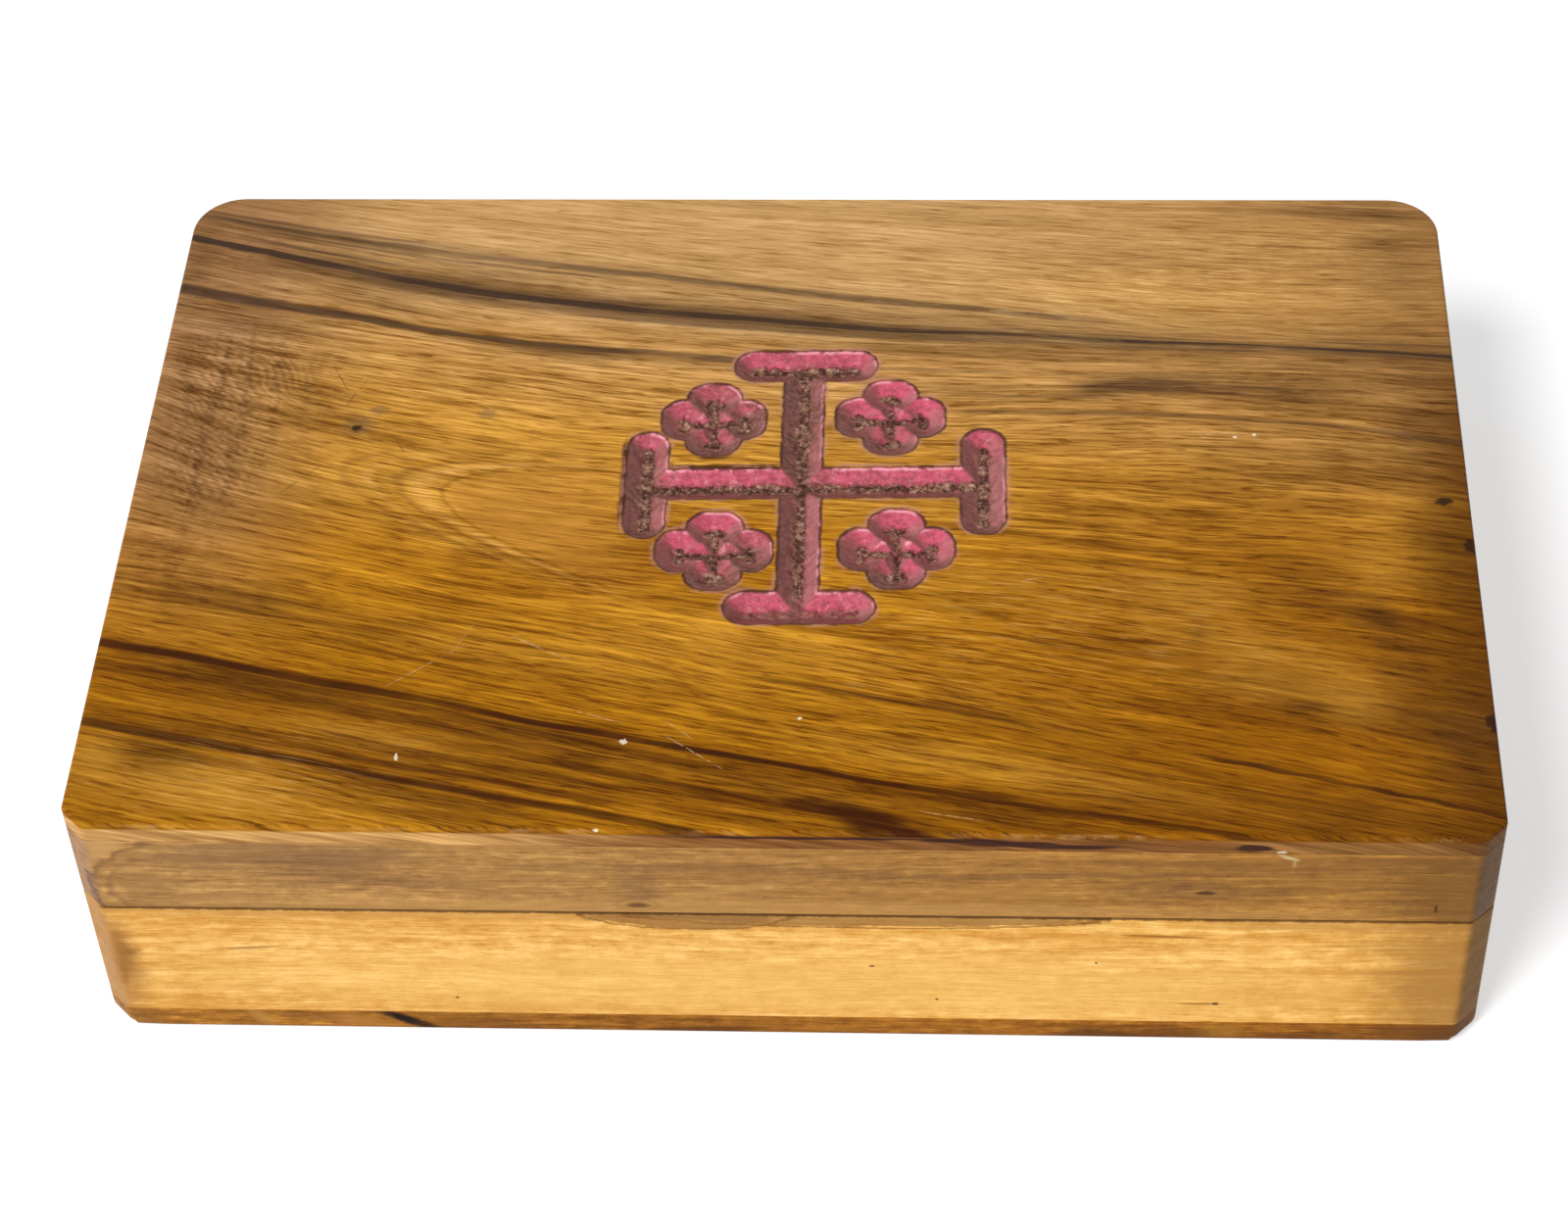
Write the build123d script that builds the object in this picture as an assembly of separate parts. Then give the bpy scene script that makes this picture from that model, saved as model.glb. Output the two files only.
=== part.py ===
from build123d import *
import math
import os

# A small hinged trinket box made of thin olive-wood boards. Base and lid are each a frame
# of four boards, mitred and glued at the corners, closed by one flat panel. The outside
# corners are then sanded: flat across at the front, round at the back. A cross with four
# small crosses round it is routed into the lid panel with a round-nosed cutter. Two brass butt hinges join lid and base.
# Millimetres. X runs along the front, +Y to the back, +Z up. The origin is the middle of the
# underside, and the lid is closed.

# Box
box_width = 165.0
box_depth = 110.0
front_corner_cut = 2.7
back_corner_radius = 6.5
wall_thickness = 7.5
bottom_thickness = 3.8
base_wall_height = 19.4
seam_gap = 0.2
lid_wall_height = 12.0
top_thickness = 2.8
top_arris_radius = 0.5
bottom_arris_radius = 1.0

# Carving, laid out by hand: a little off the middle of the lid and a little turned
carving_centre_x = 1.1
carving_centre_y = 1.1
carving_turn = 1.0
groove_width = 5.7
groove_depth = 1.4
arm_reach_left = 22.3
arm_reach_right = 25.0
arm_reach_back = 24.1
arm_reach_front = 23.8
crossbar_length = 18.5
small_cross_offset_x = 11.1
small_cross_offset_y = 11.4
small_cross_span = 13.9
petal_width = 6.5
petal_depth = 1.3
stem_width = 3.4
stem_depth = 0.9

# Hinges
hinge_spacing = 92.0
hinge_length = 20.0
hinge_axis_offset = 1.0
leaf_thickness = 0.7
leaf_to_inside = 1.5
pin_radius = 0.6
pin_clearance = 0.05
knuckle_gap = 0.15
mortise_clearance = 0.1

# Hinge nails
nail_spacing = 12.0
nail_length = 7.0
nail_radius = 0.5
nail_head_radius = 1.1
nail_head_thickness = 0.35
leaf_hole_clearance = 0.05

# Levels
base_rim = bottom_thickness + base_wall_height
lid_rim = base_rim + seam_gap
lid_frame_top = lid_rim + lid_wall_height
box_height = lid_frame_top + top_thickness

# Hinge axis, in the middle of the seam and a little behind the back face
hinge_axis_y = box_depth / 2 + hinge_axis_offset
hinge_axis_z = base_rim + seam_gap / 2
running_bore_radius = pin_radius + pin_clearance
knuckle_radius = running_bore_radius + leaf_thickness
leaf_width = wall_thickness + hinge_axis_offset - leaf_to_inside

FROM_BELOW = (Align.CENTER, Align.CENTER, Align.MIN)
FROM_CORNER = (Align.MIN, Align.MIN, Align.MIN)


def block(x_range, y_range, z_range):
    """A box between two limits on each axis."""
    limits = [sorted(pair) for pair in (x_range, y_range, z_range)]
    corner = Pos(*[low for low, high in limits])
    return corner * Box(*[high - low for low, high in limits], align=FROM_CORNER)


# Wooden frames and panels

def plan():
    """The box seen from above, with its front corners cut across and its back ones round."""
    sheet = Rectangle(box_width, box_depth)
    sheet = chamfer(sheet.vertices().group_by(Axis.Y)[0], front_corner_cut)
    return fillet(sheet.vertices().group_by(Axis.Y)[-1], back_corner_radius)


def mitred_board(side, foot, height):
    """One board of a frame: its share of the box's plan, between two 45 degree mitres."""
    outer_x = box_width / 2
    outer_y = box_depth / 2
    inner_x = outer_x - wall_thickness
    inner_y = outer_y - wall_thickness
    ring = plan() - Rectangle(2 * inner_x, 2 * inner_y)
    if side in ("front", "back"):
        share = [(-outer_x, -outer_y), (outer_x, -outer_y), (inner_x, -inner_y), (-inner_x, -inner_y)]
    else:
        share = [(outer_x, -outer_y), (outer_x, outer_y), (inner_x, inner_y), (inner_x, -inner_y)]
    turn = 180 if side in ("back", "left") else 0
    outline = ring & (Rot(0, 0, turn) * Polygon(*share, align=None))
    return Pos(0, 0, foot) * extrude(outline, amount=height)


def panel(foot, thickness):
    """A flat panel with the box's outline."""
    return Pos(0, 0, foot) * extrude(plan(), amount=thickness)


def bottom_panel():
    """The base panel, its lower arris sanded round."""
    plate = panel(0, bottom_thickness)
    lower_face = plate.faces().sort_by(Axis.Z)[0]
    return fillet(lower_face.outer_wire().edges(), bottom_arris_radius)


def top_panel():
    """The lid panel, its upper arris sanded round and the carving routed into it."""
    plate = panel(lid_frame_top, top_thickness)
    upper_face = plate.faces().sort_by(Axis.Z)[-1]
    plate = fillet(upper_face.outer_wire().edges(), top_arris_radius)
    cuts = large_cross_cuts()
    for side_x in (-1, 1):
        for side_y in (-1, 1):
            cuts += small_cross_cuts(side_x * small_cross_offset_x, side_y * small_cross_offset_y)
    return plate - cuts


# Carving

def nose_radius(width, depth):
    """The radius of the round nose that leaves a cut of this width at this depth."""
    return (width * width / 4 + depth * depth) / (2 * depth)


def laid_out(cut, width, depth):
    """A cut moved from the carving's own centre to its place and depth in the lid."""
    height = box_height - depth + nose_radius(width, depth)
    return Pos(carving_centre_x, carving_centre_y, height) * Rot(0, 0, carving_turn) * cut


def plunge_cut(x, y, width, depth):
    """The room that the cutter takes where it goes straight down and up again."""
    nose = Rot(90, 0, 0) * Sphere(nose_radius(width, depth))
    return laid_out(Pos(x, y, 0) * nose, width, depth)


def groove_cut(start, end, width, depth):
    """The room that the cutter sweeps on a level run from start to end."""
    radius = nose_radius(width, depth)
    travel = math.dist(start, end)
    flank = Line((radius, 0), (radius, travel))
    near_end = CenterArc((0, 0), radius, -90, 90)
    far_end = CenterArc((0, travel), radius, 0, 90)
    middle = Line((0, -radius), (0, travel + radius))
    half_section = make_face(Plane.XZ * (middle + [near_end, flank, far_end]))
    sweep = revolve(half_section, Axis.Z)
    run = Plane(origin=(*start, 0), z_dir=(end[0] - start[0], end[1] - start[1], 0))
    return laid_out(run * sweep, width, depth)


def large_cross_cuts():
    """Two crossing grooves, each ending in a crossbar. The arms stop just before the
    crossbars' middle lines, inside their width."""
    half_width = groove_width / 2
    arm_stop = groove_width / 6
    bar_run = (crossbar_length - groove_width) / 2
    left = -arm_reach_left + half_width
    right = arm_reach_right - half_width
    front = -arm_reach_front + half_width
    back = arm_reach_back - half_width
    runs = [
        ((left + arm_stop, 0), (right - arm_stop, 0)),
        ((0, front + arm_stop), (0, back - arm_stop)),
        ((left, -bar_run), (left, bar_run)),
        ((right, -bar_run), (right, bar_run)),
        ((-bar_run, front), (bar_run, front)),
        ((-bar_run, back), (bar_run, back)),
    ]
    return [groove_cut(start, end, groove_width, groove_depth) for start, end in runs]


def small_cross_cuts(centre_x, centre_y):
    """Four plunged petals round a centre, joined by two shallower crossing stems."""
    reach = (small_cross_span - petal_width) / 2
    cuts = []
    for toward_x, toward_y in ((1, 0), (0, 1), (-1, 0), (0, -1)):
        x = centre_x + toward_x * reach
        y = centre_y + toward_y * reach
        cuts.append(plunge_cut(x, y, petal_width, petal_depth))
    for reach_x, reach_y in ((reach, 0), (0, reach)):
        start = (centre_x - reach_x, centre_y - reach_y)
        end = (centre_x + reach_x, centre_y + reach_y)
        cuts.append(groove_cut(start, end, stem_width, stem_depth))
    return cuts


# Hinges

def hinge_axis(middle):
    """The plane across a hinge's pin at the hinge's middle, with its normal along the pin."""
    return Plane(origin=(middle, hinge_axis_y, hinge_axis_z), z_dir=(1, 0, 0))


def leaf_face(below):
    """The height of a leaf's inner face, which its nails' heads lie on."""
    return hinge_axis_z + (-running_bore_radius if below else running_bore_radius)


def leaf_seat(below):
    """The height of the face with which a leaf lies on its mortise's floor."""
    return hinge_axis_z + (-knuckle_radius if below else knuckle_radius)


def knuckle_spans():
    """Where the left, middle and right knuckle start and end, from the hinge's middle."""
    length = (hinge_length - 2 * knuckle_gap) / 3
    step = length + knuckle_gap
    return [(place * step - length / 2, place * step + length / 2) for place in (-1, 0, 1)]


def leaf(middle, below):
    """One leaf: a flat plate with its knuckles rolled round the pin.
    The leaf below carries the two outer knuckles, the leaf above the middle one."""
    own_places = (0, 2) if below else (1,)
    half = hinge_length / 2
    thickness = (leaf_face(below), leaf_seat(below))
    body = block((middle - half, middle + half), (hinge_axis_y - leaf_width, hinge_axis_y), thickness)
    barrels = []
    for place, (start, end) in enumerate(knuckle_spans()):
        if place in own_places:
            barrel = Pos(0, 0, start) * Cylinder(knuckle_radius, end - start, align=FROM_BELOW)
            barrels.append(hinge_axis(middle) * barrel)
        else:
            beside_barrel = (middle + start - knuckle_gap, middle + end + knuckle_gap)
            clear_of_barrel = (hinge_axis_y - knuckle_radius - knuckle_gap, hinge_axis_y)
            body -= block(beside_barrel, clear_of_barrel, thickness)
    body += barrels
    bore = pin_radius if below else running_bore_radius
    body -= hinge_axis(middle) * Cylinder(bore, 2 * hinge_length)
    return body - nail_holes(middle, below, nail_radius + leaf_hole_clearance)


def hinge_pin(middle):
    """The pin, pressed into the two outer knuckles and free in the middle one."""
    return hinge_axis(middle) * Cylinder(pin_radius, hinge_length)


def mortise(middle, below):
    """The shallow recess that lets a leaf into its board, open at the rim and at the back."""
    half = hinge_length / 2 + mortise_clearance
    inner = hinge_axis_y - leaf_width - mortise_clearance
    return block((middle - half, middle + half), (inner, hinge_axis_y), (hinge_axis_z, leaf_seat(below)))


def nail_places(middle, below):
    """Where the two nails of a leaf meet its inner face, midway between the barrel and the
    leaf's edge, each turned to point down into the base or up into the lid."""
    y = hinge_axis_y - (leaf_width + knuckle_radius) / 2
    point = Rot(180 if below else 0, 0, 0)
    return [Pos(middle + side * nail_spacing / 2, y, leaf_face(below)) * point for side in (-1, 1)]


def nail_holes(middle, below, radius):
    """The holes for a leaf's two nails, through the leaf and as deep as the nails go."""
    hole = Cylinder(radius, nail_length, align=FROM_BELOW)
    return [place * hole for place in nail_places(middle, below)]


def nails(middle, below):
    """The two flat-headed nails of a leaf."""
    shank = Cylinder(nail_radius, nail_length, align=FROM_BELOW)
    head = Pos(0, 0, -nail_head_thickness) * Cylinder(nail_head_radius, nail_head_thickness, align=FROM_BELOW)
    nail = shank + head
    return Compound(children=[place * nail for place in nail_places(middle, below)])


def back_board(below):
    """A back board with a mortise and two nail holes for each hinge."""
    board = mitred_board("back", *frame_span(below))
    for middle in hinge_middles.values():
        board -= mortise(middle, below)
        board -= nail_holes(middle, below, nail_radius)
    return board


def frame_span(below):
    """Foot and height of the base's frame or of the lid's."""
    return (bottom_thickness, base_wall_height) if below else (lid_rim, lid_wall_height)


# Assembly

hinge_middles = {"left": -hinge_spacing / 2, "right": hinge_spacing / 2}
pieces = {"base_bottom_panel": bottom_panel(), "lid_top_panel": top_panel()}
for part, below in (("base", True), ("lid", False)):
    pieces[f"{part}_back_board"] = back_board(below)
    for side in ("front", "left", "right"):
        pieces[f"{part}_{side}_board"] = mitred_board(side, *frame_span(below))
    for name, middle in hinge_middles.items():
        pieces[f"{name}_hinge_{part}_leaf"] = leaf(middle, below)
        pieces[f"{name}_hinge_{part}_nails"] = nails(middle, below)
for name, middle in hinge_middles.items():
    pieces[f"{name}_hinge_pin"] = hinge_pin(middle)

os.makedirs("parts", exist_ok=True)
for name, piece in pieces.items():
    export_step(piece, f"parts/{name}.step")
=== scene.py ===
import functools
import math

import bpy
import numpy as np
from mathutils import Matrix


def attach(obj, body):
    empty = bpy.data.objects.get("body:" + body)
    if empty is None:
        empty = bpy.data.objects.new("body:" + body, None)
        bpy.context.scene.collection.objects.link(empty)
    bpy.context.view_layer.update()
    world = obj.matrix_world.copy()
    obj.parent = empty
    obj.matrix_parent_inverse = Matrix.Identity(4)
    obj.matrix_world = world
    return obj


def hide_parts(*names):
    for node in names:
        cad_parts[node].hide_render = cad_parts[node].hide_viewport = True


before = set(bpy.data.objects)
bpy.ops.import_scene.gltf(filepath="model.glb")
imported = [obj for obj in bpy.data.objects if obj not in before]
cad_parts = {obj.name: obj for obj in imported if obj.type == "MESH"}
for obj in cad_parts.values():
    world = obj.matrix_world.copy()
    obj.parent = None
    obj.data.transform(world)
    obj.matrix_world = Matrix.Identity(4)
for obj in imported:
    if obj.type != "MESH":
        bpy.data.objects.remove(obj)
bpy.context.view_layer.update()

bpy.context.scene.view_settings.view_transform = "Standard"

# ---- Camera
# The box was photographed from above its front, a little from the right, with a short
# telephoto lens. Distances are in metres.

tilt, swing, lean = math.radians(46.85), math.radians(4.539), math.radians(-2.906)
looked_at, distance = np.array([-0.00334, 0.01525, 0.0]), 0.492


def linked(name, data):
    """A new object of the scene."""
    made = bpy.data.objects.new(name, data)
    bpy.context.scene.collection.objects.link(made)
    return made


toward_camera = np.array([math.sin(swing) * math.cos(tilt), -math.cos(swing) * math.cos(tilt),
                          math.sin(tilt)])
level_right = np.array([math.cos(swing), math.sin(swing), 0.0])
upright = np.cross(toward_camera, level_right)
stand = np.eye(4)
stand[:3, 0] = math.cos(lean) * level_right + math.sin(lean) * upright
stand[:3, 1] = math.cos(lean) * upright - math.sin(lean) * level_right
stand[:3, 2] = toward_camera
stand[:3, 3] = looked_at + distance * toward_camera
camera = linked("camera", bpy.data.cameras.new("camera"))
camera.data.sensor_width, camera.data.lens = 36.0, 84.39
camera.data.clip_start, camera.data.clip_end = 0.01, 50.0
camera.matrix_world = Matrix(stand.tolist())
bpy.context.scene.camera = camera

# ---- Table, backdrop light and lamp
# A white table top in a white room, one wide soft lamp in front and to the left at fifty
# degrees above the table, and the room's own light from all round.

table_half, table_drop = 3, 2e-5
lamp_strength, lamp_spread, lamp_bearing, lamp_height = 3.05, 20, 38, 50


class Amount:
    """A number that varies from place to place: a shader node's output. Sums, products and
    differences with it are further nodes, and so are abs, larger and wave."""

    def __init__(self, socket):
        self.socket = socket

    def step(self, operation, *values):
        return Amount(add(self.socket.id_data, "Math", *values, operation=operation).outputs[0])

    def __add__(self, other):
        return self.step("ADD", self, other)

    def __mul__(self, other):
        return self.step("MULTIPLY", self, other)

    def __sub__(self, other):
        return self.step("SUBTRACT", self, other)

    def __rsub__(self, other):
        return self.step("SUBTRACT", other, self)

    def __abs__(self):
        return self.step("ABSOLUTE", self)

    def larger(self, other):
        return self.step("MAXIMUM", self, other)

    def wave(self):
        return self.step("SINE", self)

    __radd__, __rmul__ = __add__, __mul__


def add(tree, kind, *values, **options):
    """A shader node: options are its own settings, and the values go to its inputs in order,
    as a link where a value is another node's output, and as a set number or colour otherwise."""
    node = tree.nodes.new("ShaderNode" + kind)
    for option, choice in options.items():
        setattr(node, option, choice)
    for place, value in enumerate(values):
        value = value.socket if isinstance(value, Amount) else value
        if isinstance(value, bpy.types.NodeSocket):
            tree.links.new(value, node.inputs[place])
        elif value is not None:
            node.inputs[place].default_value = value
    return node


def emptied(made):
    """A material or world with its node tree emptied, and that tree."""
    made.use_nodes = True
    made.node_tree.nodes.clear()
    return made, made.node_tree


bpy.context.scene.world, tree = emptied(bpy.data.worlds.new("white_room"))
seen = add(tree, "LightPath").outputs
looked_upon = Amount(seen["Is Camera Ray"]).larger(seen["Is Glossy Ray"])
looked_upon = looked_upon.larger(seen["Is Transmission Ray"])
room_light = add(tree, "Background", (0.98, 0.99, 1.0, 1.0), 0.30)
room_white = add(tree, "Background", (1.0, 1.0, 1.0, 1.0), 1.0)
room_mix = add(tree, "MixShader", looked_upon, room_light.outputs[0], room_white.outputs[0])
add(tree, "OutputWorld", room_mix.outputs[0])

table_mesh = bpy.data.meshes.new("table_top")
table_mesh.from_pydata([(x * table_half, y * table_half, -table_drop)
                        for x, y in ((-1, -1), (1, -1), (1, 1), (-1, 1))], [], [(0, 1, 2, 3)])
table_top = linked("table_top", table_mesh)
table_white, tree = emptied(bpy.data.materials.new("table_white"))
seen = add(tree, "LightPath").outputs
matt = add(tree, "BsdfDiffuse", (0.56, 0.56, 0.56, 1.0))
glow = Amount(seen["Is Camera Ray"]).larger(seen["Is Glossy Ray"]) * 0.56
lift = add(tree, "Emission", (1.0, 1.0, 1.0, 1.0), glow)
both = add(tree, "AddShader", matt.outputs[0], lift.outputs[0])
add(tree, "OutputMaterial", both.outputs[0])
table_mesh.materials.append(table_white)

lamp = bpy.data.lights.new("window_lamp", "SUN")
lamp.energy, lamp.angle = lamp_strength, math.radians(lamp_spread)
linked("window_lamp", lamp).rotation_euler = (math.radians(90 - lamp_height), 0.0,
                                              math.radians(-lamp_bearing))

# ---- Lid panel
# A thin olive-wood board, flat-sawn, with dark veins running the length of it. A large
# cross and four small ones are routed into it with a pointed bit and stained pink, and the
# board is sanded round at its edges and lacquered to a satin shine.

half_x, half_y, front_cut, back_round, softened = 82.5, 55.0, 2.7, 6.5, 1.5
panel_top, panel_foot, panel_arris = 38.2, 35.4, 0.5

# Veins and rings that the grain follows, as places (x, y) on the board from front to back,
# each with its level: where it crosses the middle of the board.
grain_lines = [
    (-72, [(-82, -55), (-40, -64), (0, -72), (40, -80), (82, -88)]),
    (-56.6, [(-82, -38.7), (-69.2, -41.5), (-58.8, -44.2), (-41.1, -48), (-27, -50.8),
        (-7.8, -55), (30, -63), (82, -75)]),
    (-44.6, [(-82, -26.2), (-72.6, -28.2), (-52.7, -33.2), (-28.1, -38.6), (-6, -43.4),
        (20.6, -48.7), (43.3, -52.8), (54.7, -54.8), (82, -60)]),
    (-31.8, [(-82, -13), (-60, -18), (-35, -24), (-6.7, -30.5), (8.6, -33.4), (23.8, -37.2),
        (28.8, -39), (51.1, -43.6), (66.3, -47), (82, -51.7)]),
    (-6, [(-82, 13), (-44, -1), (0, -6), (40, -9), (82, -14)]),
    (15, [(-82, 29), (-60, 25), (-40, 20.5), (-20, 17), (0, 15), (23, 14), (45.5, 13.1),
        (64.1, 12), (82, 9)]),
    (22.6, [(-82, 36.8), (-63.9, 32.8), (-49.1, 28.9), (-34.3, 25.5), (-16.9, 23.4), (9.6, 22.8),
        (20.5, 22.1), (41.9, 20.4), (64.7, 20.6), (82, 19)]),
    (29.9, [(-82, 46.9), (-66.9, 42.1), (-50, 37.5), (-33.3, 35.2), (-17.5, 32.6), (-1.7, 30.1),
        (13.7, 28.6), (38.2, 27.4), (64.9, 26.3), (82, 24)]),
    (35.6, [(-82, 51.4), (-67.2, 47.3), (-46.9, 43.5), (-25.9, 40.6), (5.9, 34.6), (21.5, 32.2),
        (47.5, 29.9), (82, 27.4)]),
    (55, [(-82, 64), (0, 56), (82, 50)])]

# Broad marks in the board: middle, half length, half width, slope in degrees and strength.
# Smoky marks are smoke-dark patches in the wood; the one at the left edge, at (-81, 41), is a
# painted shadow.
smoke_and_shade_marks = [
    (34, 25, 34, 3, -3, 0.36), (44, 19.2, 5, 1.2, 4, 0.7), (-42, 39.5, 9, 2.8, -12, 0.4),
    (-54, 33, 9, 2.4, -14, 0.42), (-30, 24.2, 11, 1.8, -8, 0.42), (-20, 33.6, 9, 1.2, -8, 0.3),
    (60, 5, 16, 6.5, -8, 0.4), (58, 16, 14, 3, -4, 0.25), (-42, -50.5, 12, 2.6, -12, 0.42),
    (68, -50, 11, 4, -6, 0.36), (77, -44, 5, 8, 0, 0.3), (77, 12, 5, 9, 0, 0.3),
    (70, 24, 18, 6, -4, 0.34), (68, 52.5, 14, 2, -2, 0.4), (76, 44, 6, 12, 0, 0.3),
    (-24, 33.5, 22, 2.2, -9, 0.3), (4, 31.5, 16, 2, -7, 0.34), (30, 29.8, 14, 1.6, -4, 0.28),
    (40, 18.8, 6, 2.2, 6, 0.75), (58, 18.2, 16, 2.2, -2, 0.34), (-60, 39.2, 18, 2.4, -13, 0.44),
    (-70, 47.5, 12, 1.6, -13, 0.34), (-70, 30.5, 12, 4, -14, 0.24), (65, -17.5, 12, 2.6, -36, 0.4),
    (73, -28, 4.5, 4, -40, 0.42), (80, -38.5, 3.5, 6.5, -8, 0.55),
    (70.4, -21.3, 1.8, 4.6, 8, 0.34), (49.3, -23.3, 0.9, 2, 0, 0.36),
    (59.6, -31.1, 2.2, 0.6, -4, 0.45), (61, -35.5, 2.6, 0.45, -2, 0.5),
    (73, -35.5, 4.5, 3.6, -34, 0.3), (78.5, -10, 3, 7, 20, 0.2), (-81, 41, 2.4, 9, 0, 0.4),
    (-73, -43.5, 6, 2.2, -12, 0.55), (-50, -36.2, 26, 1.9, -13.5, 0.5),
    (-18, -44, 22, 1.6, -12, 0.36), (22, -51.5, 18, 1.4, -11, 0.38),
    (-30, -46.6, 30, 2.2, -12.5, 0.28), (-67, -32, 13, 1.8, -13, 0.18),
    (9, -52.1, 9.5, 1.25, -20, 0.95), (47, -50.5, 28, 2.6, -10, 0.26),
    (58, -34, 22, 2.6, -13, 0.22), (-47, 2, 13, 1.6, 8, 0.3), (-40, -9.5, 14, 1.5, -22, 0.24),
    (-74, 8, 8, 8, 0, 0.2), (-58, 13, 9, 3.5, -35, 0.24), (24, 17.5, 20, 2.2, -4, 0.26),
    (30, -38, 16, 1.8, -14, 0.3), (-66, -20, 16, 3.6, -14, 0.44), (-66, -40.5, 8, 2.2, -12, 0.3)]
golden_marks = [
    (-33, -5, 10, 4, -18, 0.55), (-38, 10, 14, 5, -14, 0.36), (-56, 3, 9, 5, -16, 0.2),
    (-66, -49, 12, 3.6, -8, 0.75), (-48, -41, 9, 1.2, -12, 0.5), (72, -12, 8, 6, 30, 0.34),
    (56, -27, 14, 4, -20, 0.35), (66.4, -34.5, 5, 3.6, -20, 0.5), (24, -16, 16, 5, -8, 0.2),
    (48, -16.5, 9, 3, -8, 0.42), (54, -31.5, 6, 2.4, -12, 0.36), (-8, -25, 18, 5, -10, 0.24),
    (24, -44.5, 22, 2.2, -12, 0.34), (-30, -28, 26, 3.4, -12, 0.3), (-80, -44, 3, 4, -8, 0.35),
    (44, 36, 26, 5, -5, 0.25), (-10, 12, 22, 2.6, -8, 0.2)]
curly_marks = [
    (-75, 20, 7, 10, 0, 0.8), (-73, 3, 8, 9, 0, 0.7), (-66, 20, 5, 9, 0, 0.5),
    (-76, -14, 7, 8, 0, 0.35), (-60, 14, 4, 10, 0, 0.2), (60, 20, 22, 4.2, -3, 0.18),
    (40, 27.5, 9, 1.5, -8, 0.15), (60, 42, 24, 9, 0, 0.22), (74, -22, 8, 14, 0, 0.22),
    (-76, 44, 7, 5, 0, 0.25)]
glinting_marks = [
    (36, 36, 26, 7, -4, 0.9), (0, 42, 26, 5, -4, 0.45), (62, 44, 16, 7, 0, 0.5),
    (-20, 20, 20, 4, -10, 0.3), (-50, 14, 16, 9, -14, 0.35), (30, -20, 26, 8, -8, 0.35),
    (-60, -48, 18, 6, -8, 0.35), (10, -30, 22, 5, -12, 0.2)]
# Where the stain in the carving is worn and dirty.
worn_marks = [
    (1.1, 13, 4, 9.5, 0, 0.85), (1.1, -10, 4, 9, 0, 0.28), (-18.3, -1, 3.5, 7, 0, 0.55),
    (24, 0, 2.4, 9, 0, 0.45), (-6.5, 13, 3, 4, 0, 0.75), (-10, 16, 4, 3, 0, 0.55),
    (-6, -11, 3, 4, 0, 0.6), (-11, 8, 5, 2.2, 0, 0.5), (13, 9, 5, 2.2, 0, 0.4),
    (-10, -15, 5, 2.4, 0, 0.45), (9.5, -15, 5, 2.4, 0, 0.45), (-7, 1, 12, 0.9, 0, 0.45),
    (0.9, 22.6, 10, 2.4, 0, 0.2), (-18.4, 7.4, 3, 2.2, 0, 0.22), (12, 2.4, 9, 1.2, 0, 0.24),
    (-14.8, -10.3, 2.4, 2.4, 0, -0.2), (16.6, -10.2, 2.4, 2.4, 0, -0.2),
    (11.8, 16.4, 3, 2, 0, -0.2)]

# The carving, as in its layout: middle, turn, and each cut as a run from start to end, with
# the cut's width, its depth and the half width of its worn flat bottom.
carving_middle, carving_turn = (1.1, 1.1), math.radians(1.0)
cuts = [
    ((-18.7, 0.1), (21.2, 0.2), 5.5, 1.38, 0.62), ((-0.5, -20), (-0.3, 20.3), 5.3, 1.38, 0.62),
    ((-19.6, -6.6), (-19.6, 6.7), 5.4, 1.38, 0.62), ((22.05, -6.2), (22.15, 6.7), 5.7, 1.38, 0.62),
    ((-6.7, -20.95), (6.2, -20.95), 5.6, 1.38, 0.62), ((-6.5, 21.2), (6.1, 21.2), 5.8, 1.38, 0.62)]
for side_x, side_y, reach_x, reach_y in (
        (-10.8, -11.4, 4.35, 3.8), (11.4, -11.3, 4.25, 3.9), (-11.6, 11.5, 3.75, 3.7),
        (10.6, 11.7, 4.05, 3.9)):
    for way_x, way_y in ((1, 0), (-1, 0), (0, 1), (0, -1)):
        petal_x, petal_y = side_x + way_x * reach_x, side_y + way_y * reach_y
        spread_x, spread_y = 0.65 * abs(way_y), 0.75 * abs(way_x)
        cuts.append(((petal_x - spread_x, petal_y - spread_y),
                     (petal_x + spread_x, petal_y + spread_y), 5.9, 1.28, 0.5))
        cuts.append(((side_x, side_y), (petal_x, petal_y), 3.2, 1.12, 0.5))


def piece(name, points, faces, materials, body, nodes, face_materials=None, fields=None):
    """A finished piece: points in millimetres become its mesh, in place, faces meet at
    creases sharper than 35 degrees, and fields are numbers kept on its points."""
    mesh = bpy.data.meshes.new(name)
    mesh.from_pydata(np.asarray(points, float) * 0.001, [], faces)
    for material in materials:
        mesh.materials.append(material)
    if face_materials is not None:
        mesh.polygons.foreach_set("material_index", np.asarray(face_materials, np.int32))
    for number, values in (fields or {}).items():
        kept = mesh.attributes.new(number, "FLOAT", "POINT")
        kept.data.foreach_set("value", np.asarray(values, np.float32))
    mesh.polygons.foreach_set("use_smooth", np.ones(len(mesh.polygons), bool))
    mesh.set_sharp_from_angle(angle=math.radians(35))
    mesh.update()
    made = linked(name, mesh)
    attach(made, body)
    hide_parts(*nodes)


def lattice(numbers):
    """The four-sided faces of a grid of point numbers: each takes a point, its right
    neighbour, and both of those one row on."""
    corners = (numbers[:-1, :-1], numbers[:-1, 1:], numbers[1:, 1:], numbers[1:, :-1])
    return np.stack(corners, -1).reshape(-1, 4)


def wrapped(numbers):
    """The faces between neighbouring rings of points, whose numbers are a row each, looked
    at from the other side than a lattice's."""
    return lattice(np.append(numbers, numbers[:, :1], 1))[:, [0, 3, 2, 1]]


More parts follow.
